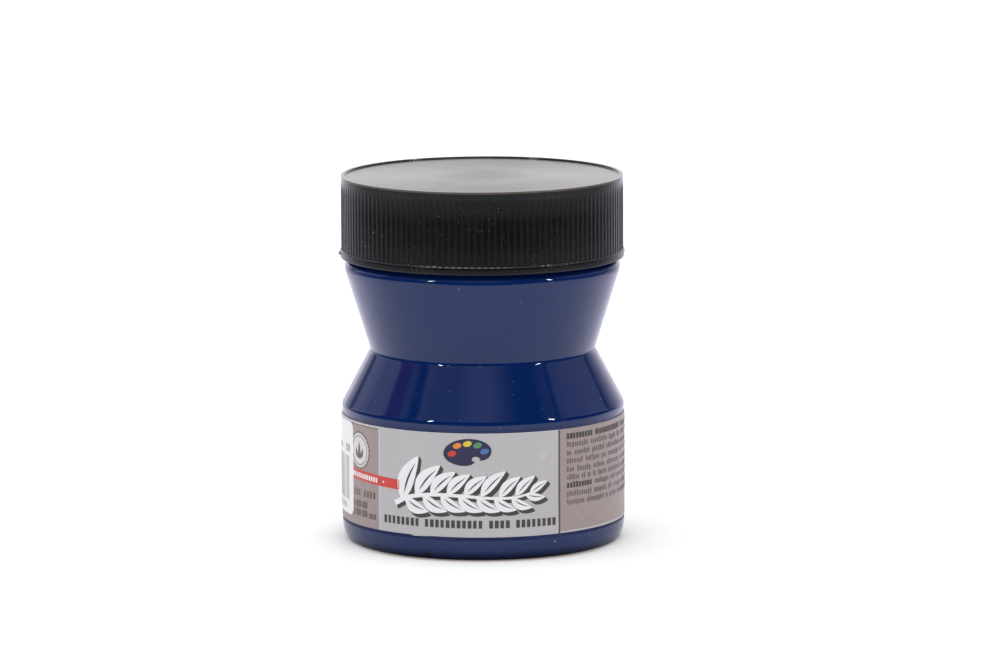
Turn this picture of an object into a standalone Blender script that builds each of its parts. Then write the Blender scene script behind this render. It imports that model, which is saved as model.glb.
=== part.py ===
"""Waisted plastic paint jar with a ribbed screw lid, a full paint fill, a
wrap-around label and a barcode sticker.

+Z is up and the origin is the centre of the plane the jar stands on.  The front
faces -Y, the label's seam is at the back (+Y) and the sticker is on the left
(-X).  Sizes are in millimetres, turned into Blender's metres by MM; heights
(_Z) are above the standing plane and radii (_R) are from the jar's axis.
"""
import math

import bmesh
import bpy
from mathutils import Matrix, Vector

MM = 0.001

# Jar body
JAR_STEPS = 64            # facets round the jar, the paint and the liner
FOOT_R = 30.6             # outer edge of the flat foot ring
FOOT_INNER_R = 27.6       # inner edge of the flat foot ring
BASE_R = 32.86            # straight lower wall
HEEL_RADIAL = BASE_R - FOOT_R   # heel rounding, measured inwards
HEEL_HEIGHT = 4.4         # heel rounding, measured upwards
PANEL_DEPTH = 0.20
PANEL_R = BASE_R - PANEL_DEPTH  # shallow panel that the label sits in
PANEL_BOTTOM_Z = 5.15
PANEL_TOP_Z = 30.25
PANEL_EDGE_HEIGHT = 0.15  # height of the slope at each edge of the panel
WAIST_R = 26.19           # narrowest point of the outside, before rounding
WAIST_Z = 44.65
WAIST_FILLET = 1.6
LOWER_CONE_DEG = 27.84    # lower cone, from the vertical
LOWER_SHOULDER_FILLET = 2.2
UPPER_SHOULDER_R = 32.05
UPPER_SHOULDER_Z = 64.00
UPPER_SHOULDER_FILLET = 1.30
UPPER_SHOULDER_FOOT_Z = UPPER_SHOULDER_Z - 0.95  # the upper cone ends here
WALL = 1.10
PUSH_UP_Z = 1.90          # rise of the underside at its centre
PUSH_UP_EDGE_Z = 0.85     # rise of the underside just inside the foot ring
FLOOR_THICKNESS = 1.30

# Neck finish, 63 mm size
NECK_R = 29.90
NECK_BORE_R = 28.75
NECK_RIM_Z = 82.00
NECK_RIM_CHAMFER = 0.30   # outer edge of the rim
NECK_BORE_CHAMFER = 0.25  # inner edge of the rim

# Screw threads
THREAD_PITCH = 25.4 / 6.0
THREAD_CREST_WIDTH = 0.90
THREAD_FADE_DEG = 28.0    # length of the fade at each end
THREAD_END_SHARE = 0.10   # height left at the ends, as a share of the full height
NECK_THREAD_CREST_R = 31.05
NECK_THREAD_TURNS = 1.25
NECK_THREAD_START_Z = 74.20
NECK_THREAD_STEPS = JAR_STEPS * 2 // 3  # steps per turn
LID_THREAD_CREST_R = 30.20
LID_THREAD_TURNS = 1.05
LID_THREAD_START_TURN = -0.05
LID_THREAD_DROP = 1.60    # lid thread below the neck thread
LID_THREAD_STEPS = 46     # steps per turn

# Paint
PAINT_GAP = 0.20          # paint to the inside of the wall
PAINT_R = NECK_BORE_R - PAINT_GAP  # paint in the neck
PAINT_LEVEL_Z = 75.95
PAINT_MENISCUS = 0.70

# Screw lid
RIB_COUNT = 138
LID_R = 32.75
LID_TOP_Z = 85.20
LID_BOTTOM_Z = 66.20
LID_BEAD_R = 33.10        # smooth band round the bottom edge
LID_BEAD_Z = 66.85
LID_BAND_TOP_Z = 68.05    # the ribs start here
LID_RIB_TOP_Z = 83.70
LID_RIB_SHARE = 0.26      # rib width as a share of the rib spacing
LID_GROOVE_R = 32.45      # bottom of the grooves between the ribs
LID_GROOVE_OVERCUT = 1.0  # reach of the groove cutters beyond the lid
LID_RIM_INNER_R = 31.95
LID_PANEL_Z = 84.55       # sunk top panel, inside the raised rim
LID_UNDERSIDE_Z = 83.30
LID_BORE_R = 31.40

# Sealing liner, between the neck rim and the underside of the lid
LINER_R = 30.60
LINER_GAP = 0.15          # gap below and above the liner
LINER_CHAMFER = 0.15
LINER_BOTTOM_Z = NECK_RIM_Z + LINER_GAP
LINER_TOP_Z = LID_UNDERSIDE_Z - LINER_GAP

# Wrap-around label
LABEL_GAP = 0.10          # label to the jar's panel
LABEL_INNER_R = PANEL_R + LABEL_GAP
LABEL_THICKNESS = 0.16
LABEL_BOTTOM_Z = 5.71
LABEL_TOP_Z = 29.73
LABEL_STEPS = JAR_STEPS - 1  # one step short of a full turn, for the seam

# Barcode sticker
STICKER_GAP = 0.06        # sticker to the outside of the label
STICKER_INNER_R = LABEL_INNER_R + LABEL_THICKNESS + STICKER_GAP
STICKER_THICKNESS = 0.10
STICKER_RIGHT_DEG = -58.9  # right-hand edge, from -Y and positive towards +X
STICKER_WIDTH = 32.0      # measured round the curve
STICKER_BOTTOM_Z = 7.40
STICKER_TOP_Z = 29.20
STICKER_CORNER = 1.8      # corner radius
STICKER_COLUMNS = 12
# Rows of points up a rounded corner, as shares of the corner radius
STICKER_CORNER_ROWS = (0.0, 0.12, 0.45, 1.0)

MATERIALS = {
    "clear_plastic": dict(colour=(0.80, 0.83, 0.88), roughness=0.06,
                          transmission=0.9, alpha=0.35),
    "blue_acrylic_paint": dict(colour=(0.004, 0.016, 0.105), roughness=0.10),
    "black_lid_plastic": dict(colour=(0.022, 0.022, 0.024), roughness=0.38),
    "white_liner_foam": dict(colour=(0.78, 0.78, 0.76), roughness=0.65),
    "silver_grey_label_film": dict(colour=(0.50, 0.49, 0.50), roughness=0.36,
                                   metallic=0.15),
    "white_sticker_paper": dict(colour=(0.86, 0.86, 0.86), roughness=0.55),
}


# ------------------------------------------------------------------- helpers
def clear_scene():
    for ob in list(bpy.data.objects):
        bpy.data.objects.remove(ob, do_unlink=True)
    for coll in list(bpy.data.collections):
        bpy.data.collections.remove(coll)


def make_collection(name):
    coll = bpy.data.collections.new(name)
    bpy.context.scene.collection.children.link(coll)
    return coll


def principled(name, colour, roughness, metallic=0.0, transmission=0.0, alpha=1.0):
    mat = bpy.data.materials.new(name)
    mat.use_nodes = True
    shader = mat.node_tree.nodes["Principled BSDF"]
    shader.inputs["Base Color"].default_value = (*colour, 1.0)
    shader.inputs["Roughness"].default_value = roughness
    shader.inputs["Metallic"].default_value = metallic
    shader.inputs["Transmission Weight"].default_value = transmission
    shader.inputs["Alpha"].default_value = alpha
    mat.diffuse_color = (*colour, alpha)
    return mat


def add_object(name, mesh, coll, mat=None):
    ob = bpy.data.objects.new(name, mesh)
    coll.objects.link(ob)
    if mat is not None:
        mesh.materials.append(mat)
    return ob


def add_bmesh_object(name, bm, coll, mat=None):
    mesh = bpy.data.meshes.new(name)
    bm.to_mesh(mesh)
    bm.free()
    return add_object(name, mesh, coll, mat)


def add_cutter(name, bm, coll):
    """A helper object that is only used by boolean modifiers."""
    ob = add_bmesh_object(name, bm, coll)
    ob.hide_render = True
    ob.display_type = "WIRE"
    return ob


def turned(name, profile, coll, mat, steps, turn_deg=360.0, start_deg=0.0):
    """Revolve an (r, z) profile in millimetres about the Z axis."""
    mesh = bpy.data.meshes.new(name)
    angle = math.radians(start_deg)
    points = [(r * MM * math.cos(angle), r * MM * math.sin(angle), z * MM)
              for r, z in profile]
    mesh.from_pydata(points, [(i, i + 1) for i in range(len(points) - 1)], [])
    ob = add_object(name, mesh, coll, mat)
    screw = ob.modifiers.new("turn", "SCREW")
    screw.axis = "Z"
    screw.angle = math.radians(turn_deg)
    screw.steps = steps
    screw.render_steps = steps
    screw.use_merge_vertices = turn_deg >= 360.0
    screw.merge_threshold = 1e-6
    screw.use_smooth_shade = True
    return ob


def boolean(ob, cutter, operation):
    mod = ob.modifiers.new(operation.lower(), "BOOLEAN")
    mod.operation = operation
    mod.solver = "EXACT"
    mod.object = cutter


def thicken(ob, name, thickness):
    """Give a thin sheet its thickness."""
    shell = ob.modifiers.new(name, "SOLIDIFY")
    shell.thickness = thickness * MM
    shell.offset = 1.0
    shell.use_even_offset = True


def thread_ridge(name, coll, start_z, turns, root_r, crest_r, root_width, sink,
                 steps_per_turn, start_turn=0.0):
    """A right-hand thread: a trapezoid lofted along a helix, its height fading
    out at both ends.  The root is sunk past the wall it grows from."""
    count = max(8, int(round(steps_per_turn * turns)))
    outward = 1.0 if crest_r > root_r else -1.0
    full_height = abs(crest_r - root_r)
    buried_r = root_r - outward * sink
    bm = bmesh.new()
    rings = []
    for i in range(count + 1):
        turn = turns * i / count
        angle = 2.0 * math.pi * (start_turn + turn)
        z = start_z + THREAD_PITCH * (start_turn + turn)
        from_end_deg = min(turn, turns - turn) * 360.0
        rise = math.sin(0.5 * math.pi * min(1.0, from_end_deg / THREAD_FADE_DEG))
        height = full_height * (THREAD_END_SHARE + (1.0 - THREAD_END_SHARE) * rise)
        top_width = THREAD_CREST_WIDTH + (
            (root_width - THREAD_CREST_WIDTH) * (1.0 - height / full_height))
        top_r = root_r + outward * height
        section = (
            (buried_r, -0.5 * root_width),
            (root_r, -0.5 * root_width),
            (top_r, -0.5 * top_width),
            (top_r, 0.5 * top_width),
            (root_r, 0.5 * root_width),
            (buried_r, 0.5 * root_width),
        )
        rings.append([
            bm.verts.new((r * math.cos(angle) * MM, r * math.sin(angle) * MM,
                          (z + offset_z) * MM))
            for r, offset_z in section
        ])
    corners = len(rings[0])
    for ring, following in zip(rings, rings[1:]):
        for j in range(corners):
            k = (j + 1) % corners
            bm.faces.new((ring[j], ring[k], following[k], following[j]))
    bm.faces.new(rings[0])
    bm.faces.new(list(reversed(rings[-1])))
    bmesh.ops.recalc_face_normals(bm, faces=bm.faces)
    return add_cutter(name, bm, coll)


def empty(name, coll, z=0.0, parent=None):
    """An empty on the jar's axis, at a height above its parent."""
    ob = bpy.data.objects.new(name, None)
    ob.empty_display_size = 0.01
    coll.objects.link(ob)
    ob.parent = parent
    ob.location = (0.0, 0.0, z * MM)
    return ob


def hang(ob, parent, parent_z):
    """Parent an object to an empty on the jar's axis and keep it in place."""
    ob.parent = parent
    ob.matrix_parent_inverse = Matrix.Translation((0.0, 0.0, -parent_z * MM))


# ------------------------------------------------------------------ profiles
def arc(centre_r, centre_z, radius_r, radius_z, start_deg, end_deg, count):
    points = []
    for i in range(count + 1):
        angle = math.radians(start_deg + (end_deg - start_deg) * i / count)
        points.append((centre_r + radius_r * math.cos(angle),
                       centre_z + radius_z * math.sin(angle)))
    return points


def rounded_corner(before, at, after, radius, count):
    """Round the corner at a profile point with an arc that meets both sides."""
    apex = Vector(at)
    to_before = (Vector(before) - apex).normalized()
    to_after = (Vector(after) - apex).normalized()
    half = 0.5 * to_before.angle(to_after)
    reach = radius / math.tan(half)
    centre = apex + (to_before + to_after).normalized() * (radius / math.sin(half))
    start = apex + to_before * reach - centre
    end = apex + to_after * reach - centre
    first = math.atan2(start.y, start.x)
    # The shorter way round
    sweep = math.remainder(math.atan2(end.y, end.x) - first, 2.0 * math.pi)
    points = []
    for i in range(count + 1):
        angle = first + sweep * i / count
        points.append((centre.x + radius * math.cos(angle),
                       centre.y + radius * math.sin(angle)))
    return points


# Height at which the lower cone meets the straight lower wall
CONE_FOOT_Z = WAIST_Z - (BASE_R - WAIST_R) / math.tan(math.radians(LOWER_CONE_DEG))


def jar_outside():
    """Outside of the jar from the neck rim down to the underside's centre."""
    shoulder_foot = (UPPER_SHOULDER_R - 0.12, UPPER_SHOULDER_FOOT_Z)
    waist = (WAIST_R, WAIST_Z)
    wall_corner = (BASE_R, CONE_FOOT_Z)
    return [
        (NECK_BORE_R + NECK_BORE_CHAMFER, NECK_RIM_Z),
        (NECK_R - NECK_RIM_CHAMFER, NECK_RIM_Z),
        (NECK_R, NECK_RIM_Z - NECK_RIM_CHAMFER),
        # Flare from the neck into the upper shoulder
        (NECK_R, UPPER_SHOULDER_Z + 2.05),
        (NECK_R + 0.55, UPPER_SHOULDER_Z + 1.50),
        *arc(UPPER_SHOULDER_R - UPPER_SHOULDER_FILLET, UPPER_SHOULDER_Z,
             UPPER_SHOULDER_FILLET, UPPER_SHOULDER_FILLET, 70.0, 0.0, 2),
        shoulder_foot,
        *rounded_corner(shoulder_foot, waist, wall_corner, WAIST_FILLET, 2),
        *rounded_corner(waist, wall_corner, (BASE_R, 0.0), LOWER_SHOULDER_FILLET, 3),
        (BASE_R, PANEL_TOP_Z + PANEL_EDGE_HEIGHT),
        (PANEL_R, PANEL_TOP_Z),
        (PANEL_R, PANEL_BOTTOM_Z),
        (BASE_R, PANEL_BOTTOM_Z - PANEL_EDGE_HEIGHT),
        *arc(FOOT_R, HEEL_HEIGHT, HEEL_RADIAL, HEEL_HEIGHT, 0.0, -90.0, 3),
        (FOOT_INNER_R, 0.0),
        (FOOT_INNER_R - 1.0, PUSH_UP_EDGE_Z),
        (0.0, PUSH_UP_Z),
    ]


def jar_inside(gap=0.0):
    """Inside of the jar from the floor's centre up to the foot of the neck
    bore, moved towards the paint by a gap."""
    inset = WALL + gap
    wall_r = PANEL_R - inset
    shoulder_r = UPPER_SHOULDER_R - inset
    floor = PUSH_UP_Z + FLOOR_THICKNESS + gap
    foot_floor = PUSH_UP_EDGE_Z + FLOOR_THICKNESS + gap
    return [
        # Floor and the rounding up to the wall
        (0.0, floor),
        (FOOT_INNER_R - 1.2, foot_floor),
        (FOOT_R - 0.9 - gap, foot_floor + 0.05),
        (wall_r - 0.75, foot_floor + 0.75),
        (wall_r, foot_floor + 2.3),
        # Lower wall, lower cone and waist
        (wall_r, CONE_FOOT_Z - 0.9),
        (wall_r - 0.42, CONE_FOOT_Z + 0.55),
        (WAIST_R - inset, WAIST_Z + 0.05),
        # Upper shoulder and the foot of the bore
        (shoulder_r - 0.20, UPPER_SHOULDER_FOOT_Z),
        (shoulder_r - 0.30, UPPER_SHOULDER_Z - 0.20),
        (shoulder_r - 0.85, UPPER_SHOULDER_Z + 0.45),
        (NECK_BORE_R - gap, UPPER_SHOULDER_Z + 1.30),
    ]


# -------------------------------------------------------------------- pieces
def build_jar(coll, cutters, mat):
    bore_top = (NECK_BORE_R, NECK_RIM_Z - NECK_BORE_CHAMFER)
    profile = jar_inside() + [bore_top] + jar_outside()
    jar = turned("jar_body", profile, coll, mat, JAR_STEPS)
    ridge = thread_ridge("neck_thread_form", cutters,
                         start_z=NECK_THREAD_START_Z, turns=NECK_THREAD_TURNS,
                         root_r=NECK_R, crest_r=NECK_THREAD_CREST_R,
                         root_width=2.20, sink=0.45,
                         steps_per_turn=NECK_THREAD_STEPS)
    boolean(jar, ridge, "UNION")


def build_paint(coll, mat):
    # Top surface from the centre out, rising to the meniscus at the neck
    top = [
        (0.0, PAINT_LEVEL_Z),
        (PAINT_R - 2.6, PAINT_LEVEL_Z + 0.05),
        (PAINT_R - 0.8, PAINT_LEVEL_Z + 0.30),
        (PAINT_R, PAINT_LEVEL_Z + PAINT_MENISCUS),
    ]
    turned("paint_fill", top + jar_inside(PAINT_GAP)[::-1], coll, mat, JAR_STEPS)


def lid_groove_cutter(cutters):
    """One block for each gap between two ribs."""
    pitch = 2.0 * math.pi / RIB_COUNT
    width = (1.0 - LID_RIB_SHARE) * pitch * LID_R * MM
    low, high = LID_BAND_TOP_Z * MM, LID_RIB_TOP_Z * MM
    inner, outer = LID_GROOVE_R * MM, (LID_R + LID_GROOVE_OVERCUT) * MM
    bm = bmesh.new()
    for i in range(RIB_COUNT):
        place = (
            Matrix.Rotation((i + 0.5) * pitch, 4, "Z")
            @ Matrix.Translation((0.5 * (inner + outer), 0.0, 0.5 * (low + high)))
            @ Matrix.Diagonal((outer - inner, width, high - low, 1.0))
        )
        bmesh.ops.create_cube(bm, size=1.0, matrix=place)
    return add_cutter("lid_groove_form", bm, cutters)


def build_lid(coll, cutters, mat):
    # From the centre of the top, down the outside and back up the bore
    profile = [
        (0.0, LID_PANEL_Z),
        (LID_RIM_INNER_R - 0.12, LID_PANEL_Z),
        (LID_RIM_INNER_R, LID_TOP_Z),
        (LID_R - 0.28, LID_TOP_Z),
        (LID_R, LID_TOP_Z - 0.30),
        (LID_R, LID_BAND_TOP_Z - 0.25),
        (LID_BEAD_R, LID_BEAD_Z),
        (LID_BEAD_R - 0.30, LID_BOTTOM_Z),
        (LID_BORE_R + 0.30, LID_BOTTOM_Z),
        (LID_BORE_R, LID_BOTTOM_Z + 0.50),
        (LID_BORE_R, LID_UNDERSIDE_Z),
        (0.0, LID_UNDERSIDE_Z),
    ]
    lid = turned("screw_lid", profile, coll, mat, RIB_COUNT)
    boolean(lid, lid_groove_cutter(cutters), "DIFFERENCE")
    ridge = thread_ridge("lid_thread_form", cutters,
                         start_z=NECK_THREAD_START_Z - LID_THREAD_DROP,
                         turns=LID_THREAD_TURNS,
                         root_r=LID_BORE_R, crest_r=LID_THREAD_CREST_R,
                         root_width=2.00, sink=0.40,
                         steps_per_turn=LID_THREAD_STEPS,
                         start_turn=LID_THREAD_START_TURN)
    boolean(lid, ridge, "UNION")
    return lid


def build_liner(coll, mat):
    """A disc with chamfered edges."""
    profile = [
        (0.0, LINER_TOP_Z),
        (LINER_R - LINER_CHAMFER, LINER_TOP_Z),
        (LINER_R, LINER_TOP_Z - LINER_CHAMFER),
        (LINER_R, LINER_BOTTOM_Z + LINER_CHAMFER),
        (LINER_R - LINER_CHAMFER, LINER_BOTTOM_Z),
        (0.0, LINER_BOTTOM_Z),
    ]
    return turned("lid_liner", profile, coll, mat, JAR_STEPS)


def build_label(coll, mat):
    """A thin sleeve with a seam gap one step wide at the back, close to +Y."""
    step_deg = 360.0 / JAR_STEPS
    label = turned("wrap_label",
                   [(LABEL_INNER_R, LABEL_TOP_Z), (LABEL_INNER_R, LABEL_BOTTOM_Z)],
                   coll, mat, LABEL_STEPS, turn_deg=LABEL_STEPS * step_deg,
                   start_deg=90.0 + step_deg)
    thicken(label, "film", LABEL_THICKNESS)


def build_sticker(coll, mat):
    """A grid sheet with rounded corners, wrapped on the left of the label."""
    low, high = STICKER_BOTTOM_Z, STICKER_TOP_Z
    heights = [low + STICKER_CORNER * share for share in STICKER_CORNER_ROWS]
    heights += [high + low - z for z in reversed(heights)]
    spans = len(heights) - 1
    half_width = 0.5 * STICKER_WIDTH
    middle_arc = math.radians(STICKER_RIGHT_DEG) * STICKER_INNER_R - half_width
    bm = bmesh.new()
    bmesh.ops.create_grid(bm, x_segments=STICKER_COLUMNS, y_segments=spans, size=1.0)
    # The flat grid runs from -1 to 1 both ways: x goes round the jar, y goes up
    for vert in bm.verts:
        z = heights[int(round(0.5 * (vert.co.y + 1.0) * spans))]
        from_edge = min(z - low, high - z)
        inset = 0.0
        if from_edge < STICKER_CORNER:
            drop = STICKER_CORNER - from_edge
            inset = STICKER_CORNER - math.sqrt(max(0.0, STICKER_CORNER ** 2 - drop ** 2))
        angle = (middle_arc + vert.co.x * (half_width - inset)) / STICKER_INNER_R
        vert.co = (STICKER_INNER_R * math.sin(angle) * MM,
                   -STICKER_INNER_R * math.cos(angle) * MM, z * MM)
    # The faces have to point outwards, as the paper thickens along their normals
    bmesh.ops.recalc_face_normals(bm, faces=bm.faces)
    bm.faces.ensure_lookup_table()
    face = bm.faces[0]
    centre = face.calc_center_median()
    if face.normal.dot(Vector((centre.x, centre.y, 0.0))) < 0.0:
        bmesh.ops.reverse_faces(bm, faces=bm.faces)
    sticker = add_bmesh_object("barcode_sticker", bm, coll, mat)
    thicken(sticker, "paper", STICKER_THICKNESS)


def main():
    clear_scene()
    parts = make_collection("paint_jar")
    cutters = make_collection("paint_jar_cutters")
    mats = {name: principled(name, **look) for name, look in MATERIALS.items()}

    build_jar(parts, cutters, mats["clear_plastic"])
    build_paint(parts, mats["blue_acrylic_paint"])
    build_label(parts, mats["silver_grey_label_film"])
    build_sticker(parts, mats["white_sticker_paper"])
    liner = build_liner(parts, mats["white_liner_foam"])
    lid = build_lid(parts, cutters, mats["black_lid_plastic"])

    # The lift axis carries the liner and the turn axis, which carries the lid
    lift_axis = empty("lid_lift_axis", parts, z=LINER_BOTTOM_Z)
    turn_axis = empty("lid_turn_axis", parts, parent=lift_axis)
    hang(liner, lift_axis, LINER_BOTTOM_Z)
    hang(lid, turn_axis, LINER_BOTTOM_Z)


main()
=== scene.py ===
"""Looks for the waisted paint jar: detailed pieces that ride on the CAD bodies
jar, liner and lid.

The jar stands on z = 0 with its axis on Z and the front of its label towards
-Y.  Meshes are drawn in millimetres and shaders read metres, unless noted.  A
place on the wrapped surfaces is (run, z) in mm, where run is the arc length to
the right of the front, measured at ARC_R.
"""
import bpy
import bmesh
import math
import random
import numpy as np
from mathutils import Matrix, Vector


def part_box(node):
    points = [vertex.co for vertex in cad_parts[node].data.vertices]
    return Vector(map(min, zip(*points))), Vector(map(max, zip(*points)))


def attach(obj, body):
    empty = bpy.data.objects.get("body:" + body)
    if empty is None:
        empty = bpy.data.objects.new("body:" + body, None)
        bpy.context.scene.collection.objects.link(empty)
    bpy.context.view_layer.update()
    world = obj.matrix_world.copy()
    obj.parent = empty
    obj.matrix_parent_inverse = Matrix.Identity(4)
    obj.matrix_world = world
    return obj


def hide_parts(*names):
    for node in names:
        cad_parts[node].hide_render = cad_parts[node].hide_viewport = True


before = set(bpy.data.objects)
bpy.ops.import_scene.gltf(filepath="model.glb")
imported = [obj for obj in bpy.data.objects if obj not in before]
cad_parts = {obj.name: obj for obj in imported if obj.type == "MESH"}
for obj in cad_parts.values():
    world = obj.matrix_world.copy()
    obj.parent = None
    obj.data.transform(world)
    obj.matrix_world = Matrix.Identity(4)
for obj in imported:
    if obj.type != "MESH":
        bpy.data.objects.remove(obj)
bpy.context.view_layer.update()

MM = 0.001
TAU = 2.0 * math.pi
VIEW_TURN_DEG = 6.6                  # the camera stands this far to the right of the front
VIEW_TURN = math.radians(VIEW_TURN_DEG)
CAM_X, CAM_Y = math.sin(VIEW_TURN), -math.cos(VIEW_TURN)   # towards the camera, on the ground

# Jar
WAIST_R, WAIST_Z = 26.19, 44.65
CONE = math.radians(27.84)           # lean of the wall below the waist, from the axis
BASE_R = 32.86
PANEL_R = 32.66                      # shallow recess that holds the label
NECK_R = 29.9
BORE_R = 28.75
PAINT_LEVEL = 75.95
# Lid
LID_R = 32.75
LID_BORE_R = 31.40
RIBS = 138
GROOVE_DEPTH = 0.12
# Threads of the neck and the lid
THREAD_PITCH = 25.4 / 6.0
THREAD_RUN_IN = 28.0                 # degrees over which a ridge fades at its ends
# Label and sticker
FILM_INNER_R, FILM_R = 32.67, 32.92
ARC_R = 32.95
PRINT_STEP, PRINT_THICK = 0.030, 0.05
LATTICE = 1.1                        # width of the columns cut into wrapped shapes

label_lo, label_hi = (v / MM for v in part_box("wrap_label"))
sticker_lo, sticker_hi = (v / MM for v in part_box("barcode_sticker"))
FILM_BOTTOM, FILM_TOP = label_lo.z - 0.09, label_hi.z


# --------------------------------------------------------------- shader values
class Value:
    """One output of a shader node; working with it adds nodes to its tree."""

    def __init__(self, tree, socket):
        self.tree = tree
        self.socket = socket

    def output(self, key):
        """Another output of the same node."""
        return Value(self.tree, self.socket.node.outputs[key])

    def xyz(self):
        parts = add(self.tree, "ShaderNodeSeparateXYZ", {0: self})
        return [parts.output(i) for i in range(3)]

    def math(self, operation, *terms):
        inputs = dict(enumerate((self, *terms)))
        return add(self.tree, "ShaderNodeMath", inputs, operation=operation)

    def __add__(self, other):
        return self.math("ADD", other)

    def __sub__(self, other):
        return self.math("SUBTRACT", other)

    def __rsub__(self, other):
        return add(self.tree, "ShaderNodeMath", {0: other, 1: self}, operation="SUBTRACT")

    def __mul__(self, other):
        return self.math("MULTIPLY", other)

    def __abs__(self):
        return self.math("ABSOLUTE")

    def max(self, other):
        return self.math("MAXIMUM", other)

    def affine(self, scale, plus):
        return self.math("MULTIPLY_ADD", scale, plus)

    def clamped(self):
        """Clamp the math node that made this value to 0..1."""
        self.socket.node.use_clamp = True
        return self

    def step(self, start, end, interpolation="SMOOTHSTEP"):
        """0 at start and before, 1 at end and beyond; start may be above end."""
        return add(self.tree, "ShaderNodeMapRange", {0: self, 1: start, 2: end, 3: 0.0, 4: 1.0},
                   interpolation_type=interpolation)

    def line(self, start, end):
        return self.step(start, end, "LINEAR")

    def between(self, rise, full, fade, end):
        """1 from full to fade, falling to 0 at rise and at end."""
        return self.step(rise, full) * self.step(end, fade)

    def mix(self, first, second):
        """Colour from first to second as this value goes from 0 to 1."""
        return mix_colours(self.tree, self, first, second)

    def mix_value(self, first, second):
        return add(self.tree, "ShaderNodeMix", {0: self, 2: first, 3: second}, data_type="FLOAT")

    def toward(self, colour, by):
        """This colour moved towards another."""
        return mix_colours(self.tree, by, self, colour)

    def times_grey(self, value):
        """This colour multiplied by one value in all channels."""
        grey = add(self.tree, "ShaderNodeCombineColor", {0: value, 1: value, 2: value})
        return mix_colours(self.tree, 1.0, self, grey, "MULTIPLY")


def add(tree, kind, inputs=None, **settings):
    """New node, given back as the Value of its first output."""
    node = tree.nodes.new(kind)
    for key, setting in settings.items():
        setattr(node, key, setting)
    for key, given in (inputs or {}).items():
        socket = node.inputs[key]
        if isinstance(given, Value):
            tree.links.new(given.socket, socket)
        elif socket.type == "RGBA":
            socket.default_value = (*given, 1.0)
        else:
            socket.default_value = given
    return Value(tree, node.outputs[0])


def mix_colours(tree, by, first, second, blend="MIX"):
    return add(tree, "ShaderNodeMix", {0: by, 6: first, 7: second}, data_type="RGBA",
               blend_type=blend, clamp_factor=True).output(2)


def ramp(value, stops):
    """Colour ramp from (position, grey or colour) stops."""
    result = add(value.tree, "ShaderNodeValToRGB", {0: value})
    elements = result.socket.node.color_ramp.elements
    while len(elements) > 1:
        elements.remove(elements[-1])
    for i, (position, colour) in enumerate(stops):
        if isinstance(colour, (int, float)):
            colour = (colour, colour, colour)
        element = elements.new(position) if i else elements[0]
        element.position = position
        element.color = (*colour, 1.0)
    return result


def noise(where, scale, detail=3.0, rough=0.55, distortion=0.0):
    return add(where.tree, "ShaderNodeTexNoise",
               {"Vector": where, "Scale": scale, "Detail": detail, "Roughness": rough,
                "Distortion": distortion})


def bump(height, distance, strength):
    return add(height.tree, "ShaderNodeBump",
               {"Height": height, "Distance": distance, "Strength": strength})


def principled(colour, rough, normal, **inputs):
    """Underscores in the names of further inputs stand for spaces."""
    inputs = {name.replace("_", " "): given for name, given in inputs.items()}
    return add(normal.tree, "ShaderNodeBsdfPrincipled",
               {"Base Color": colour, "Roughness": rough, "Normal": normal, **inputs})


def new_material(name):
    """A material with an empty tree, and its object coordinates."""
    mat = bpy.data.materials.new(name)
    mat.use_nodes = True
    mat.node_tree.nodes.clear()
    return mat, add(mat.node_tree, "ShaderNodeTexCoord").output("Object")


def finish_tree(owner, shader, kind="ShaderNodeOutputMaterial"):
    out = owner.node_tree.nodes.new(kind)
    owner.node_tree.links.new(shader.socket, out.inputs[0])
    return owner


def srgb(*channels):
    """Linear colour from 8-bit sRGB channels."""
    def linear(channel):
        c = channel / 255.0
        return c / 12.92 if c <= 0.04045 else ((c + 0.055) / 1.055) ** 2.4
    return tuple(linear(channel) for channel in channels)


def shade(colour, factor):
    return tuple(c * factor for c in colour)


def azimuth_from_front(x, y):
    """Radians round the axis from -Y, positive to the right."""
    return x.math("ARCTAN2", y * -1.0)


def axis_distance(x, y):
    flat = add(x.tree, "ShaderNodeCombineXYZ", {0: x, 1: y})
    return add(x.tree, "ShaderNodeVectorMath", {0: flat}, operation="LENGTH").output("Value")


def toward_camera(x, y):
    return x * CAM_X + y * CAM_Y


def oval_distance(across, upward):
    return (across * across + upward * upward).math("SQRT")


def wrapped_place(where):
    """(run, z) of a shaded point, in mm."""
    x, y, z = where.xyz()
    return azimuth_from_front(x, y) * ARC_R, z * 1000.0


def specks(where, scale, low, high, offset=(0.0, 0.0, 0.0)):
    """Sparse dots: only cells whose random value nears high show one."""
    moved = add(where.tree, "ShaderNodeVectorMath", {0: where, 1: offset}, operation="ADD")
    cells = add(where.tree, "ShaderNodeTexVoronoi",
                {"Vector": moved, "Scale": scale, "Randomness": 1.0})
    dot = cells.output("Distance").line(start=0.24, end=0.10)
    pick = add(where.tree, "ShaderNodeSeparateColor", {0: cells.output("Color")})
    return dot * pick.line(start=low, end=high)


def hairlines(where, along, across, width, patch, lean=0.0, layer=3.7):
    """Fine scratches that run round the axis, in patches.

    along and across are frequencies per mm; patch holds the noise levels where
    the scratches start and are full; layer picks another slice of the noise.
    """
    run, z = wrapped_place(where)
    z = z + run * lean
    place = add(where.tree, "ShaderNodeCombineXYZ", {0: run * along, 1: z * across, 2: layer})
    field = noise(place, scale=1.0, detail=1.0, rough=0.4)
    scratch = abs(field - 0.5).line(start=width, end=0.0)
    return scratch * noise(where, scale=130.0, detail=2.0).step(*patch)


def speck_and_shadow_oval(where, at_run, at_z, wide, tall):
    """One soft oval on the outer wall (mm), clear of the underside; used for a pale speck and for a
    painted shadow at the foot.
    """
    run, z = wrapped_place(where)
    x, y, _ = where.xyz()
    radius = axis_distance(x, y)
    reach = oval_distance((run - at_run) * (1.0 / wide), (z - at_z) * (1.0 / tall))
    return reach.step(start=1.0, end=0.55) * radius.step(start=0.0290, end=0.0298)


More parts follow.
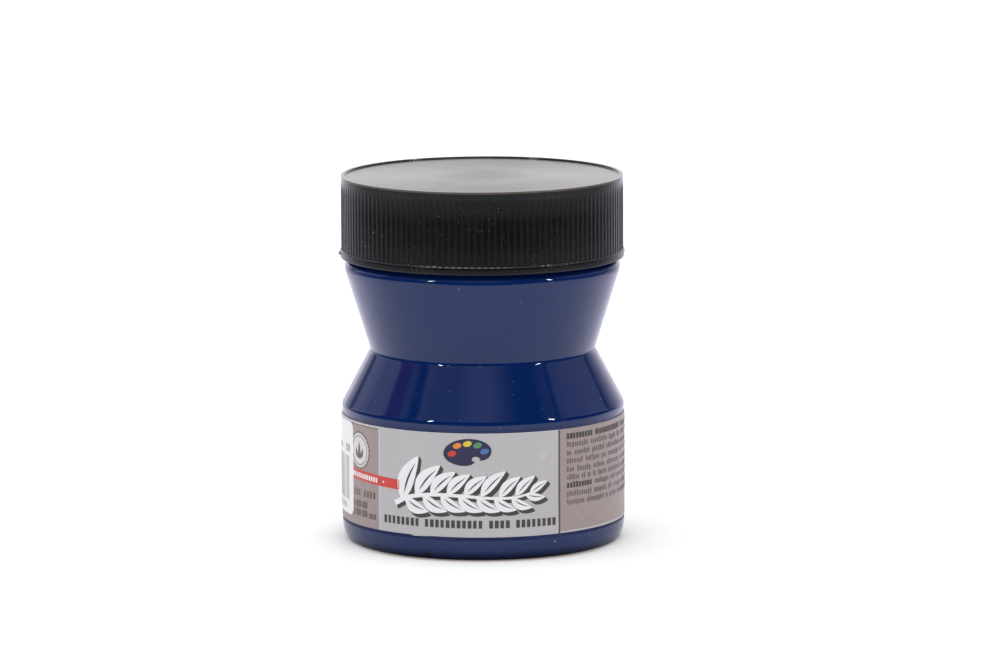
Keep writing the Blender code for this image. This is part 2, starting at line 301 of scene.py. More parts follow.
# ------------------------------------------------------------------- materials
def paint_colour(where):
    """Deep ultramarine with a faint drift of pigment."""
    return noise(where, scale=60.0, detail=4.0).mix((0.0012, 0.0125, 0.083),
                                                    (0.0026, 0.0180, 0.100))


def jar_material():
    """Plastic that looks filled with paint up to the paint level, and clear above it."""
    mat, where = new_material("clear_plastic")
    z = where.xyz()[2]
    waves = noise(where, scale=45.0, detail=2.0)
    fine = noise(where, scale=900.0)
    dust = specks(where, scale=2100.0, low=0.9945, high=0.998)
    lint = specks(where, scale=1150.0, low=0.9965, high=0.999, offset=(0.3, 0.1, 0.7))
    scuffs = hairlines(where, along=0.16, across=3.4, width=0.018, patch=(0.52, 0.66), lean=0.03)
    slanted = hairlines(where, along=0.45, across=1.1, width=0.006, patch=(0.60, 0.72),
                        lean=0.8, layer=9.1)
    # share of each kind of mark
    marks = dust.max(scuffs * 0.05).clamped()
    marks = marks.max(slanted * 0.08).clamped()
    marks = marks.max(lint * 0.6).clamped()
    normal = bump(waves * 1.0 + fine * 0.035 - scuffs * 0.03, distance=0.00012, strength=0.55)

    rough = noise(where, scale=150.0, detail=4.0).mix_value(0.025, 0.075)
    rough = (rough + marks * 0.25).clamped()
    matt_ring = z.between(0.0046, 0.0050, 0.0060, 0.0064)      # at the recess's lower edge
    rough = (rough + matt_ring * 0.40).clamped()

    base = paint_colour(where)
    # painted shade: the base colour darkens towards the foot, where the contact shadow falls, and its
    # reflection is turned down there too
    base = z.step(start=0.0002, end=0.0028).mix((0.0012, 0.0050, 0.026), base)
    specular = z.step(start=0.0003, end=0.0028).mix_value(0.04, 0.5)
    base = base.toward((0.50, 0.52, 0.60), by=marks * 0.55)
    # painted shadow: a near-black oval at the foot, where the contact shadow under the heel is thicker
    painted_foot_shadow = speck_and_shadow_oval(where, at_run=-9.9, at_z=1.25, wide=1.3, tall=0.60)
    base = base.toward((0.0010, 0.0015, 0.0040), by=painted_foot_shadow)
    pale_mark = speck_and_shadow_oval(where, at_run=21.0, at_z=3.90, wide=0.48, tall=0.40)
    base = base.toward((0.085, 0.115, 0.130), by=pale_mark * 0.8)
    filled = principled(base, rough, normal, IOR=1.50, Specular_IOR_Level=specular)

    clear = principled((0.93, 0.95, 0.97), rough * 0.8, normal, IOR=1.49, Transmission_Weight=1.0)
    through = add(where.tree, "ShaderNodeBsdfTransparent", {"Color": (0.90, 0.92, 0.95)})
    path = add(where.tree, "ShaderNodeLightPath")
    # shadow and diffuse rays pass straight through the clear part
    soft = path.output("Is Shadow Ray").max(path.output("Is Diffuse Ray"))
    clear = add(where.tree, "ShaderNodeMixShader", {0: soft, 1: clear, 2: through})
    below_level = z.step(start=0.07605, end=0.07595)
    return finish_tree(mat, add(where.tree, "ShaderNodeMixShader",
                                {0: below_level, 1: clear, 2: filled}))


def paint_material():
    mat, where = new_material("blue_paint")
    waves = noise(where, scale=70.0, detail=3.0, rough=0.5, distortion=0.4)
    dimple = noise(where, scale=420.0)
    swirl = add(where.tree, "ShaderNodeTexWave",
                {"Vector": where, "Scale": 28.0, "Distortion": 5.0, "Detail": 2.0,
                 "Detail Scale": 1.4}, wave_type="RINGS", rings_direction="Z").output(1)
    height = waves + (dimple * 0.06 + swirl * 0.22)
    rough = noise(where, scale=90.0, detail=4.0).mix_value(0.05, 0.16)
    return finish_tree(mat, principled(paint_colour(where), rough,
                                       bump(height, distance=0.0010, strength=0.6), IOR=1.48))


def lid_material():
    """Black plastic with dust, rubbed rib crests and fine rings on the sunk top."""
    mat, where = new_material("black_plastic")
    x, y, z = where.xyz()
    radius = axis_distance(x, y)
    grain = noise(where, scale=1500.0, detail=4.0, rough=0.6)
    blotch = noise(where, scale=110.0, detail=4.0, rough=0.6)
    dust = specks(where, scale=1900.0, low=0.948, high=0.976)
    crumbs = specks(where, scale=1300.0, low=0.993, high=0.998, offset=(0.21, 0.43, 0.11))
    thick = noise(where, scale=75.0, detail=2.0).step(start=0.42, end=0.60)
    dust = dust * thick.affine(scale=0.8, plus=0.2)
    rubbed = hairlines(where, along=0.30, across=2.2, width=0.020, patch=(0.50, 0.66), lean=0.05)
    dirt = dust.max(crumbs).clamped()
    on_side = z.step(start=0.0836, end=0.0830)
    crest = radius.step(start=0.03269, end=0.032745) * on_side

    base = blotch.mix((0.0022, 0.0021, 0.0026), (0.0048, 0.0046, 0.0053))
    # base colour lighter on the upper and, at half strength, the lower side
    paler_bands = z.step(start=0.0775, end=0.0812).max(z.step(start=0.0735, end=0.0690) * 0.50)
    base = base.toward((0.0190, 0.0185, 0.0200), by=paler_bands * 0.75)
    base = base.toward((0.009, 0.0087, 0.0092), by=grain * 0.20)
    worn = (crest * grain.affine(scale=0.9, plus=0.25)).clamped()
    base = base.toward((0.0150, 0.0145, 0.0160), by=worn)
    # painted sheen: the smooth strip above the ribs gets a lighter base colour for the light it
    # reflects; then a painted highlight on the lip round the sunk top
    plain = z.step(start=0.0828, end=0.0840) * radius.step(start=0.0320, end=0.0325)
    base = base.toward((0.026, 0.0250, 0.0262), by=plain * 0.8)
    # painted highlight: a warm pale line on the lip round the sunk top, broken up by the grain
    lip_highlight = z.step(start=0.08464, end=0.08480) * radius.step(start=0.0318, end=0.0320)
    base = base.toward((0.120, 0.098, 0.084),
                       by=(lip_highlight * grain.affine(scale=0.5, plus=0.6)).clamped())
    # painted shade: a dark line in the bottom band; painted glints: pale dashes along the ledge above
    # it
    skirt = radius.step(start=0.0322, end=0.0325)
    under = z.between(0.06715, 0.06730, 0.06758, 0.06768)
    base = base.toward((0.0020, 0.0019, 0.0023), by=under * skirt * 0.85)
    # painted glints: broken pale dashes along the ledge, one per rib, mostly across the front towards
    # the camera
    angle = azimuth_from_front(x, y)
    glint_dashes = (angle * float(RIBS)).math("COSINE").affine(scale=0.5, plus=0.5)
    glint_dashes = glint_dashes * noise(where, scale=210.0, detail=2.0).affine(scale=1.6, plus=0.1)
    glint_span = abs(angle + 0.030).step(start=0.40, end=0.22)
    glint_span = glint_span.max(abs(angle - 0.575).step(start=0.050, end=0.020))
    ledge_glint = z.between(0.06772, 0.06780, 0.06796, 0.06806) * skirt
    ledge_glint = (ledge_glint * (glint_dashes * glint_span).affine(scale=0.95, plus=0.05)).clamped()
    base = base.toward((0.125, 0.123, 0.132), by=ledge_glint)
    fine = specks(where, scale=2700.0, low=0.915, high=0.965, offset=(0.37, 0.12, 0.29))
    patches = noise(where, scale=90.0, detail=2.0).step(start=0.42, end=0.62)
    fine = fine * on_side * patches.affine(scale=0.75, plus=0.25)
    base = base.toward((0.22, 0.22, 0.23), by=fine * 0.80)
    base = base.toward((0.055, 0.054, 0.056), by=rubbed * 0.16)
    base = base.toward((0.25, 0.25, 0.26), by=dirt * 0.7)

    on_top = z.step(start=0.0838, end=0.0840)
    rough = blotch.mix_value(0.17, 0.27)
    rough = on_top.mix_value(rough, rough * 0.75)
    rough = rough + grain * 0.05
    rough = (rough + dirt * 0.3).clamped()
    middle = on_top * radius.step(start=0.0150, end=0.0015)
    cloud = noise(where, scale=95.0)
    middle = (middle * cloud.affine(scale=0.8, plus=0.55)).clamped()
    rough = (rough + middle * 0.05).clamped()

    rings = (radius * 5200.0).math("SINE")
    height = grain * 0.16 + blotch * 0.6 - rubbed * 0.06 + rings * 0.02 * on_top
    return finish_tree(mat, principled(
        base, rough, bump(height, distance=0.00010, strength=0.5),
        IOR=middle.mix_value(1.52, 1.40),
        Anisotropic=on_top * 0.75 * radius.step(start=0.002, end=0.022),
        Anisotropic_Rotation=0.25,
        Tangent=add(where.tree, "ShaderNodeTangent", direction_type="RADIAL", axis="Z")))


def liner_material():
    mat, where = new_material("liner_foam")
    cells = add(where.tree, "ShaderNodeTexVoronoi",
                {"Vector": where, "Scale": 1400.0}).output("Distance")
    base = noise(where, scale=120.0, detail=4.0).mix((0.70, 0.70, 0.67), (0.82, 0.82, 0.80))
    return finish_tree(mat, principled(base, cells.mix_value(0.55, 0.80),
                                       bump(cells, distance=0.00008, strength=0.7)))


def film_material(name, light, dark, weave, weave_depth, rough_range):
    """Printed film: a drift of colour, a fine woven print, soft wrinkles and scuffs."""
    thread_pitch = 0.45              # mm
    mat, where = new_material(name)
    run, z = wrapped_place(where)
    drift = noise(where, scale=90.0)
    cloud = noise(where, scale=1200.0)
    base = drift.mix(dark, light)
    across = (run * (TAU / thread_pitch)).math("SINE")
    upward = (z * (TAU / thread_pitch)).math("SINE")
    threads = (across * 1.0).max(upward)
    wobble = noise(where, scale=700.0, detail=2.0)
    cloth = threads.affine(scale=0.5, plus=0.5) * wobble.affine(scale=0.9, plus=0.2)
    base = base.toward(shade(light, 0.45), by=(cloth * weave).clamped())
    base = base.toward(shade(light, 0.72), by=cloud.step(start=0.35, end=0.75) * 0.10)
    scuff = hairlines(where, along=0.22, across=2.6, width=0.012, patch=(0.56, 0.70), lean=0.10)
    base = base.toward((0.80, 0.80, 0.82), by=scuff * 0.07)
    rough = noise(where, scale=240.0).mix_value(*rough_range)
    wrinkle = noise(where, scale=38.0, detail=2.0, rough=0.4, distortion=0.3)
    height = wrinkle * 1.0 + threads * weave_depth + cloud * 0.03
    return finish_tree(mat, principled(base, rough, bump(height, distance=0.00012, strength=0.5),
                                       IOR=1.46))


def ink_material(name, colour, rough=0.42, speckle=0.12, drift=0.10):
    """Flat print on film: slight density drift, pin-holes and a fine grain."""
    mat, where = new_material(name)
    density = noise(where, scale=260.0, detail=4.0)
    grain = noise(where, scale=2600.0, detail=2.0)
    pale = tuple(min(1.0, c * (1.0 + drift) + 0.006) for c in colour)
    base = density.mix(shade(colour, 1.0 - drift), pale)
    pin_hole = tuple(0.5 * c + 0.25 for c in colour)
    base = base.toward(pin_hole, by=grain.step(start=0.60, end=0.75) * speckle)
    rough = grain.mix_value(max(0.05, rough - 0.08), rough + 0.10)
    return finish_tree(mat, principled(base, rough, bump(grain, distance=0.00003, strength=0.4),
                                       IOR=1.46))


def paper_material():
    mat, where = new_material("sticker_paper")
    fibre = noise(where, scale=900.0, detail=5.0, rough=0.65, distortion=0.6)
    cloud = noise(where, scale=140.0)
    base = cloud.mix((0.80, 0.80, 0.81), (0.88, 0.88, 0.89))
    base = base.toward((0.66, 0.66, 0.68), by=fibre.step(start=0.58, end=0.75) * 0.15)
    normal = bump(fibre + cloud * 2.0, distance=0.00006, strength=0.45)
    return finish_tree(mat, principled(base, fibre.mix_value(0.42, 0.62), normal, IOR=1.45))


# ---------------------------------------------------------------------- meshes
def make_mesh(name, points, faces):
    mesh = bpy.data.meshes.new(name)
    mesh.from_pydata(points, [], faces)
    mesh.update()
    return mesh


def make_object(name, mesh, mat, sharp_deg=None):
    """Object in the scene; smooth apart from edges above sharp_deg, if that is given."""
    obj = bpy.data.objects.new(name, mesh)
    bpy.context.scene.collection.objects.link(obj)
    mesh.materials.append(mat)
    if sharp_deg is not None:
        mesh.shade_smooth()
        mesh.set_sharp_from_angle(angle=math.radians(sharp_deg))
    return obj


def fit(obj, body, part=None):
    """Tell the frame what the object rides on and which CAD part it stands for."""
    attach(obj, body)
    if part is not None:
        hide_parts(part)


def even_angles(columns):
    return np.arange(columns) / columns * TAU


def spread(profile, columns):
    """Radii and heights of a profile, repeated over the columns."""
    return [np.repeat(profile[:, i:i + 1], columns, axis=1) for i in (0, 1)]


def revolved(name, radii, heights, angles, mat, sharp_deg):
    """One closed skin from rows x columns of radii and heights, with the first
    and last rows closed by a centre point on the axis."""
    rows, cols = radii.shape
    places = np.empty((rows, cols, 3))
    places[:, :, 0] = radii * np.sin(angles)[None, :]
    places[:, :, 1] = -radii * np.cos(angles)[None, :]
    places[:, :, 2] = heights
    points = (places.reshape(-1, 3) * MM).tolist()
    first, last = len(points), len(points) + 1
    points.append((0.0, 0.0, float(heights[0].mean()) * MM))
    points.append((0.0, 0.0, float(heights[-1].mean()) * MM))
    i = np.arange(rows - 1)[:, None] * cols
    j = np.arange(cols)[None, :]
    k = (j + 1) % cols
    quads = np.stack([i + j, i + cols + j, i + cols + k, i + k], axis=-1).reshape(-1, 4).tolist()
    start_fan = [(first, a, (a + 1) % cols) for a in range(cols)]
    base = (rows - 1) * cols
    end_fan = [(last, base + (a + 1) % cols, base + a) for a in range(cols)]
    mesh = make_mesh(name, points, quads + start_fan + end_fan)
    shape = bmesh.new()
    shape.from_mesh(mesh)
    bmesh.ops.recalc_face_normals(shape, faces=shape.faces)
    shape.to_mesh(mesh)
    shape.free()
    return make_object(name, mesh, mat, sharp_deg)


def arc(centre_r, centre_z, radius_r, radius_z, start_deg, end_deg, count):
    out = []
    for i in range(count + 1):
        angle = math.radians(start_deg + (end_deg - start_deg) * i / count)
        out.append((centre_r + radius_r * math.cos(angle), centre_z + radius_z * math.sin(angle)))
    return out


def corner(before, at, after, radius, count):
    """Rounded corner at a point between two others."""
    tip = Vector(at)
    back, onward = (Vector(before) - tip).normalized(), (Vector(after) - tip).normalized()
    half = 0.5 * back.angle(onward)
    reach = radius / math.tan(half)
    centre = tip + (back + onward).normalized() * (radius / math.sin(half))
    start, end = tip + back * reach - centre, tip + onward * reach - centre
    first = math.atan2(start.y, start.x)
    sweep = math.remainder(math.atan2(end.y, end.x) - first, TAU)
    return [(centre.x + radius * math.cos(first + sweep * i / count),
             centre.y + radius * math.sin(first + sweep * i / count)) for i in range(count + 1)]


def filled_in(points, spacing):
    """Extra points on long straight runs, so that shading stays even."""
    out = [points[0]]
    for a, b in zip(points, points[1:]):
        count = max(1, int(math.ceil(math.hypot(b[0] - a[0], b[1] - a[1]) / spacing)))
        for i in range(1, count + 1):
            t = i / count
            out.append((a[0] + (b[0] - a[0]) * t, a[1] + (b[1] - a[1]) * t))
    return out


def thread_height(angles, heights, start_z, first_turn, turns, height, root_width, crest_width):
    """Height of a helical ridge over a rows x columns field of places."""
    result = np.zeros_like(heights)
    # the helix is measured from +X, and angles here are measured from -Y
    base_turn = np.mod(angles / TAU - 0.25, 1.0)[None, :]
    for k in range(-2, 4):
        turn = base_turn + k
        along = turn - first_turn
        inside = (along >= 0.0) & (along <= turns)
        from_end = np.minimum(along, turns - along) * 360.0
        fade = np.clip(from_end / THREAD_RUN_IN, 0.0, 1.0)
        faded = height * np.sin(0.5 * math.pi * fade)
        offset = np.abs(heights - (start_z + THREAD_PITCH * turn))
        flank = (0.5 * root_width - offset) / (0.5 * (root_width - crest_width))
        flank = np.clip(flank, 0.0, 1.0)
        flank = flank * flank * (3.0 - 2.0 * flank)
        result = np.maximum(result, np.where(inside, faded * flank, 0.0))
    return result


def on_neck(radius):
    return np.abs(radius - NECK_R) < 0.02


def jar_profile():
    """(radius, z) up the inside from the floor, over the rim and down the outside."""
    foot = (BASE_R, 0.0)
    waist = (WAIST_R, WAIST_Z)
    wall_corner = (BASE_R, WAIST_Z - (BASE_R - WAIST_R) / math.tan(CONE))
    shoulder_foot = (31.93, 63.05)
    inside = [
        (2.0, 3.20), (14.0, 3.10), (26.4, 3.20), (29.7, 2.20), (30.6, 2.38), (31.2, 2.70),
        (31.48, 3.30), (31.56, 4.4), (31.56, 31.10), (31.14, 32.60), (25.4, 43.9), (25.12, 44.5),
        (25.4, 45.4), (30.75, 63.05), (30.65, 63.80), (30.10, 64.45), (29.10, 65.10),
        (BORE_R, 65.8), (BORE_R, 81.75),
    ]
    # rim and neck
    outside = arc(29.0, 81.75, 0.25, 0.25, 180.0, 90.0, 4)[1:]
    outside += arc(29.6, 81.70, 0.30, 0.30, 90.0, 0.0, 4)
    outside += arc(30.90, 67.05, 1.0, 1.0, 180.0, 225.0, 4)
    # shoulder, waist and wall
    outside += arc(30.75, 64.00, 1.30, 1.30, 80.0, 0.0, 10)
    outside.append(shoulder_foot)
    outside += corner(shoulder_foot, waist, wall_corner, 1.6, 10)
    outside += corner(waist, wall_corner, foot, 2.2, 10)
    # label recess
    outside += [(BASE_R, 30.45), (BASE_R - 0.03, 30.36), (PANEL_R + 0.03, 30.28),
                (PANEL_R, 30.20), (PANEL_R, 5.20), (PANEL_R + 0.03, 5.12),
                (BASE_R - 0.03, 5.04), (BASE_R, 4.95)]
    # foot and underside
    outside += arc(30.6, 4.4, 2.26, 4.4, 0.0, -90.0, 14)
    outside += [(28.0, 0.0), (27.4, 0.05), (27.0, 0.25), (26.5, 0.75), (26.0, 0.92),
                (10.0, 1.62), (2.0, 1.90)]
    return filled_in(inside + outside, 1.6)


def build_jar(mat):
    profile = jar_profile()
    rows = []
    for here, following in zip(profile, profile[1:]):
        rows.append(here)
        (radius, z), (next_radius, next_z) = here, following
        rise = next_z - z
        # finer rows where the thread stands
        if on_neck(radius) and on_neck(next_radius) and abs(rise) > 0.3:
            count = int(math.ceil(abs(rise) / 0.22))
            rows += [(radius, z + rise * i / count) for i in range(1, count)]
    rows.append(profile[-1])
    rows = np.array(rows)
    angles = even_angles(320)
    radii, heights = spread(rows, len(angles))
    ridge = thread_height(angles, heights, start_z=74.20, first_turn=0.0, turns=1.25,
                          height=1.15, root_width=2.20, crest_width=0.90)
    radii = radii + np.where(on_neck(rows[:, 0])[:, None], ridge, 0.0)
    return revolved("jar_shell", radii, heights, angles, mat, 50.0)


def build_paint(mat):
    """Paint that wets the inside of the wall, with a raised rim of meniscus and a
    faint swirl on its top."""
    # (radius, height above the level) out from the axis, then (radius, z) down the wall
    top = [(2.0, 0.0), (10.0, 0.0), (20.0, 0.01), (25.9, 0.05), (27.2, 0.16), (28.0, 0.34),
           (28.5, 0.54), (28.72, 0.70)]
    side = [(28.77, PAINT_LEVEL + 0.60), (28.78, 66.0), (29.15, 65.12), (30.15, 64.48),
            (30.70, 63.82), (30.80, 63.05), (25.45, 45.4), (25.17, 44.5), (25.45, 43.9),
            (31.19, 32.60), (31.61, 31.10), (31.61, 4.4), (31.53, 3.25), (31.2, 2.65),
            (30.6, 2.33), (29.7, 2.16), (26.4, 3.12), (14.0, 3.05), (2.0, 3.15)]
    top = [(radius, PAINT_LEVEL + rise) for radius, rise in top]
    profile = np.array(filled_in(top, 1.2) + filled_in(side, 3.0))
    angles = even_angles(224)
    radii, heights = spread(profile, len(angles))
    on_top = (profile[:, 1] > PAINT_LEVEL - 0.01)[:, None] & (profile[:, 0] < 28.0)[:, None]
    swirl = (0.10 * np.sin(2.0 * angles[None, :] + radii * 0.42)
             * np.exp(-((radii - 14.0) / 9.0) ** 2))
    heights = heights + np.where(on_top, swirl - 0.02, 0.0)
    return revolved("paint_body", radii, heights, angles, mat, 60.0)


def lid_profile():
    """(radius, z, share of the groove depth) from the sunk top over the rim, down
    the ribbed side, and up the bore to the ceiling."""
    top = [(1.6, 84.83), (12.0, 84.83), (24.0, 84.83), (31.50, 84.82)]
    top += arc(31.74, 84.95, 0.12, 0.13, -90.0, -8.0, 4)
    top += arc(31.93, 85.14, 0.05, 0.06, 180.0, 95.0, 3)
    top += [(31.96, 85.20), (32.20, 85.20), (32.45, 85.198), (32.62, 85.19)]
    top += arc(32.64, 85.08, 0.11, 0.11, 80.0, 0.0, 5)
    rows = [(radius, z, 0.0) for radius, z in top]
    for z in (84.55, 84.20, 83.85, 83.70, 83.55, 83.35, 83.10, 82.80, 82.40, 81.90, 81.2, 79.5,
              77.5, 75.0, 72.5, 70.5, 69.0, 68.50, 68.25):
        t = min(1.0, max(0.0, (83.74 - z) / 2.7))
        rows.append((LID_R, z, 1.0 - (1.0 - t) ** 2))
    rows += [(LID_R, 68.08, 0.98), (32.78, 67.93, 0.50)]
    # bottom band and mouth
    band_points = [
        (32.86, 67.80), (32.91, 67.75), (32.93, 67.68), (32.935, 67.58), (32.94, 67.36),
        (32.94, 67.08), (32.94, 66.85), (32.94, 66.60), (32.94, 66.30), (32.93, 66.24),
        (32.89, 66.205), (32.60, 66.20), (31.85, 66.20), (31.60, 66.28), (31.45, 66.45),
        (LID_BORE_R, 66.70)]
    rows += [(radius, z, 0.0) for radius, z in band_points]
    # bore, with finer rows where the thread stands
    step = 0.42
    z = 67.2
    while z < 82.6:
        rows.append((LID_BORE_R, z, 0.0))
        z += step if 71.0 < z < 78.0 else 1.2
    ceiling = [(31.38, 83.0), (31.25, 83.22), (30.9, 83.30), (30.2, 83.30), (16.0, 83.30),
               (2.0, 83.30)]
    return np.array(rows + [(radius, z, 0.0) for radius, z in ceiling])


def build_lid(mat):
    """Outside, rim and sunk top, then the bore with its thread, as one skin."""
    # across one rib: (place in pitches from its middle, height share)
    marks = [(-0.28, 0.0), (-0.17, 0.16), (-0.08, 0.88), (0.0, 1.0), (0.08, 0.88), (0.17, 0.16),
             (0.28, 0.0), (0.50, 0.0)]
    pitch = TAU / RIBS
    # the first rib stands on +X; angles start on -Y
    angles = np.concatenate([[(i + place) * pitch for place, _ in marks] for i in range(RIBS)])
    angles = angles + 0.5 * math.pi
    rib = np.tile([share for _, share in marks], RIBS)
    profile = lid_profile()
    radii, heights = spread(profile, len(angles))
    row_r, row_z = profile[:, 0:1], profile[:, 1:2]
    radii = radii - GROOVE_DEPTH * profile[:, 2:3] * (1.0 - rib[None, :])
    bore = (np.abs(row_r - LID_BORE_R) < 0.001) & (row_z > 66.9)
    ridge = thread_height(angles, heights, start_z=72.60, first_turn=-0.05, turns=1.05,
                          height=1.20, root_width=2.00, crest_width=0.90)
    radii = radii - np.where(bore, ridge, 0.0)

    def degrees_from(bearing):
        """Degrees from a bearing that is counted rightwards from the camera."""
        turn = np.degrees(angles)[None, :]
        return np.mod(turn - (bearing + VIEW_TURN_DEG) + 180.0, 360.0) - 180.0

    # ragged nib on the left of the bottom band and a lower one on the right
    nib_z = 67.35
    left, right = degrees_from(-86.0), degrees_from(90.0)
    ragged = 1.0 + 0.35 * np.sin(left * 2.1)
    nib = np.exp(-(left / 4.5) ** 2) * ragged * np.exp(-((heights - nib_z) / 0.40) ** 2)
    nib = nib + 0.42 * np.exp(-(right / 9.0) ** 2) * np.exp(-((heights - nib_z) / 0.30) ** 2)
    outer = row_r > 32.0
    radii = radii + np.where(outer, 0.42 * nib, 0.0)
    heights = heights - np.where(outer, 0.25 * nib, 0.0)
    # nick in the rim, to the left of the front
    nick = np.exp(-(degrees_from(-49.0) / 0.9) ** 2) * np.where((row_z > 84.6) & outer, 1.0, 0.0)
    heights = heights - 0.16 * nick
    # slight waviness of the rim
    soft = 0.012 * np.sin(3.0 * angles[None, :] + 0.4) + 0.008 * np.sin(7.0 * angles[None, :])
    heights = heights + np.where(row_z > 84.9, soft - 0.02, 0.0)
    return revolved("lid_shell", radii, heights, angles, mat, 62.0)


def build_liner(mat):
    """Foam disc with a shallow ring pressed into its underside above the neck rim."""
    points = [(1.5, 83.15), (12.0, 83.15), (29.8, 83.15)]
    points += arc(30.42, 82.97, 0.18, 0.18, 90.0, 0.0, 4)
    points += arc(30.42, 82.33, 0.18, 0.18, 0.0, -90.0, 4)
    points += [(30.3, 82.15), (30.0, 82.17), (29.9, 82.24), (29.0, 82.24), (28.8, 82.17),
               (28.6, 82.15), (26.0, 82.15), (14.0, 82.15), (1.5, 82.15)]
    angles = even_angles(160)
    radii, heights = spread(np.array(filled_in(points, 2.0)), len(angles))
    return revolved("liner_disc", radii, heights, angles, mat, 45.0)


# --------------------------------------------------------- flat shapes, wrapped
def wrapped(name, polygons, inner_r, outer_r, mat, ripple, lattice=LATTICE, levels=()):
    """Closed thin solids: polygons of (run, z), cut into narrow columns and bent
    round the jar between two radii, to which ripple(run, z) is added."""
    shape = bmesh.new()
    for polygon in polygons:
        shape.faces.new([shape.verts.new((run, z, 0.0)) for run, z in polygon])

    def cut(place, normal):
        bmesh.ops.bisect_plane(shape, geom=shape.verts[:] + shape.edges[:] + shape.faces[:],
                               dist=1e-5, plane_co=place, plane_no=normal)

    low = min(v.co.x for v in shape.verts)
    high = max(v.co.x for v in shape.verts)
    k = math.floor(low / lattice) + 1
    while k * lattice < high - 1e-6:
        cut((k * lattice, 0.0, 0.0), (1.0, 0.0, 0.0))
        k += 1
    for level in levels:
        cut((0.0, level, 0.0), (0.0, 1.0, 0.0))
    bmesh.ops.triangulate(shape, faces=shape.faces[:])
    for face in shape.faces:
        if face.normal.z < 0.0:
            face.normal_flip()
    shape.verts.index_update()
    flat = [(v.co.x, v.co.y) for v in shape.verts]
    faces = [tuple(v.index for v in face.verts) for face in shape.faces]
    rim = []
    for edge in shape.edges:
        if len(edge.link_faces) == 1:
            loop = edge.link_loops[0]
            rim.append((loop.vert.index, loop.link_loop_next.vert.index))
    shape.free()

    def place(run, z, radius):
        angle = run / ARC_R
        radius += ripple(run, z)
        return (radius * math.sin(angle) * MM, -radius * math.cos(angle) * MM, z * MM)

    count = len(flat)
    points = [place(run, z, radius) for radius in (outer_r, inner_r) for run, z in flat]
    faces += [tuple(i + count for i in reversed(face)) for face in faces]
    faces += [(b, a, a + count, b + count) for a, b in rim]
    return make_object(name, make_mesh(name, points, faces), mat, 30.0)


def at_deg(degrees):
    """Run of a bearing counted rightwards from the front."""
    return math.radians(degrees) * ARC_R


def rect(left, bottom, right, top):
    return [(left, bottom), (right, bottom), (right, top), (left, top)]


def round_rect(left, bottom, right, top, radius, steps=5):
    out = []
    for run, z, start in ((right - radius, bottom + radius, -90.0),
                          (right - radius, top - radius, 0.0),
                          (left + radius, top - radius, 90.0),
                          (left + radius, bottom + radius, 180.0)):
        out += arc(run, z, radius, radius, start, start + 90.0, steps)
    return out


def oval(centre_run, centre_z, half_run, half_z, turn=0.0):
    out = []
    steps = 18
    for i in range(steps):
        angle = TAU * i / steps
        x, y = half_run * math.cos(angle), half_z * math.sin(angle)
        out.append((centre_run + x * math.cos(turn) - y * math.sin(turn),
                    centre_z + x * math.sin(turn) + y * math.cos(turn)))
    return out


def ring(centre_run, centre_z, outer, inner, parts=24):
    """A flat ring as separate four-sided parts."""
    out = []
    for i in range(parts):
        a, b = TAU * i / parts, TAU * (i + 1) / parts
        out.append([(centre_run + radius * math.cos(angle), centre_z + radius * math.sin(angle))
                    for radius, angle in ((inner, a), (outer, a), (outer, b), (inner, b))])
    return out


def serrated(centre_run, centre_z, radius):
    teeth, depth = 28, 0.07
    out = []
    for i in range(teeth * 2):
        angle = TAU * i / (teeth * 2)
        reach = radius * (1.0 if i % 2 == 0 else 1.0 - depth)
        out.append((centre_run + reach * math.cos(angle), centre_z + reach * math.sin(angle)))
    return out


def leaf(base, tip, width, bow):
    """A tapered brush dab from base to tip; bow bends it sideways."""
    (x0, y0), (x1, y1) = base, tip
    dx, dy = x1 - x0, y1 - y0
    length = math.hypot(dx, dy)
    nx, ny = -dy / length, dx / length
    left, right = [], []
    steps = 14
    for i in range(steps + 1):
        t = i / steps
        half = 0.5 * width * math.sin(math.pi * (t ** 0.8)) ** 0.85 if 0 < i < steps else 0.02
        bend = bow * length * math.sin(math.pi * t)
        x, y = x0 + dx * t + nx * bend, y0 + dy * t + ny * bend
        left.append((x + nx * half, y + ny * half))
        right.append((x - nx * half, y - ny * half))
    return right + list(reversed(left))


def spline(values, t):
    """Smooth curve through values; t counts intervals."""
    i = min(len(values) - 2, int(t))
    f = t - i
    p0, p1 = values[max(0, i - 1)], values[i]
    p2, p3 = values[i + 1], values[min(len(values) - 1, i + 2)]
    return 0.5 * (2 * p1 + (p2 - p0) * f + (2 * p0 - 5 * p1 + 4 * p2 - p3) * f * f
                  + (3 * p1 - p0 - 3 * p2 + p3) * f ** 3)


def brush_stroke(points, widths):
    """A stroke of varying width along a smooth line through points."""
    steps = 8
    tracks = [point[0] for point in points], [point[1] for point in points], widths
    count = (len(points) - 1) * steps
    middle = [[spline(track, i / steps) for track in tracks] for i in range(count + 1)]
    left, right = [], []
    for i, (x, y, width) in enumerate(middle):
        a, b = middle[max(0, i - 1)], middle[min(count, i + 1)]
        dx, dy = b[0] - a[0], b[1] - a[1]
        length = math.hypot(dx, dy) or 1.0
        half = max(0.02, width) * 0.5
        left.append((x - dy / length * half, y + dx / length * half))
        right.append((x + dy / length * half, y - dx / length * half))
    return right + list(reversed(left))


def hull(points):
    """Convex outline round points."""
    ordered = sorted(set((round(x, 5), round(y, 5)) for x, y in points))

    def half(sequence):
        out = []
        for p in sequence:
            while len(out) >= 2 and ((out[-1][0] - out[-2][0]) * (p[1] - out[-2][1])
                                     - (out[-1][1] - out[-2][1]) * (p[0] - out[-2][0])) <= 0:
                out.pop()
            out.append(p)
        return out
    return half(ordered)[:-1] + half(reversed(ordered))[:-1]


rng = random.Random(7)


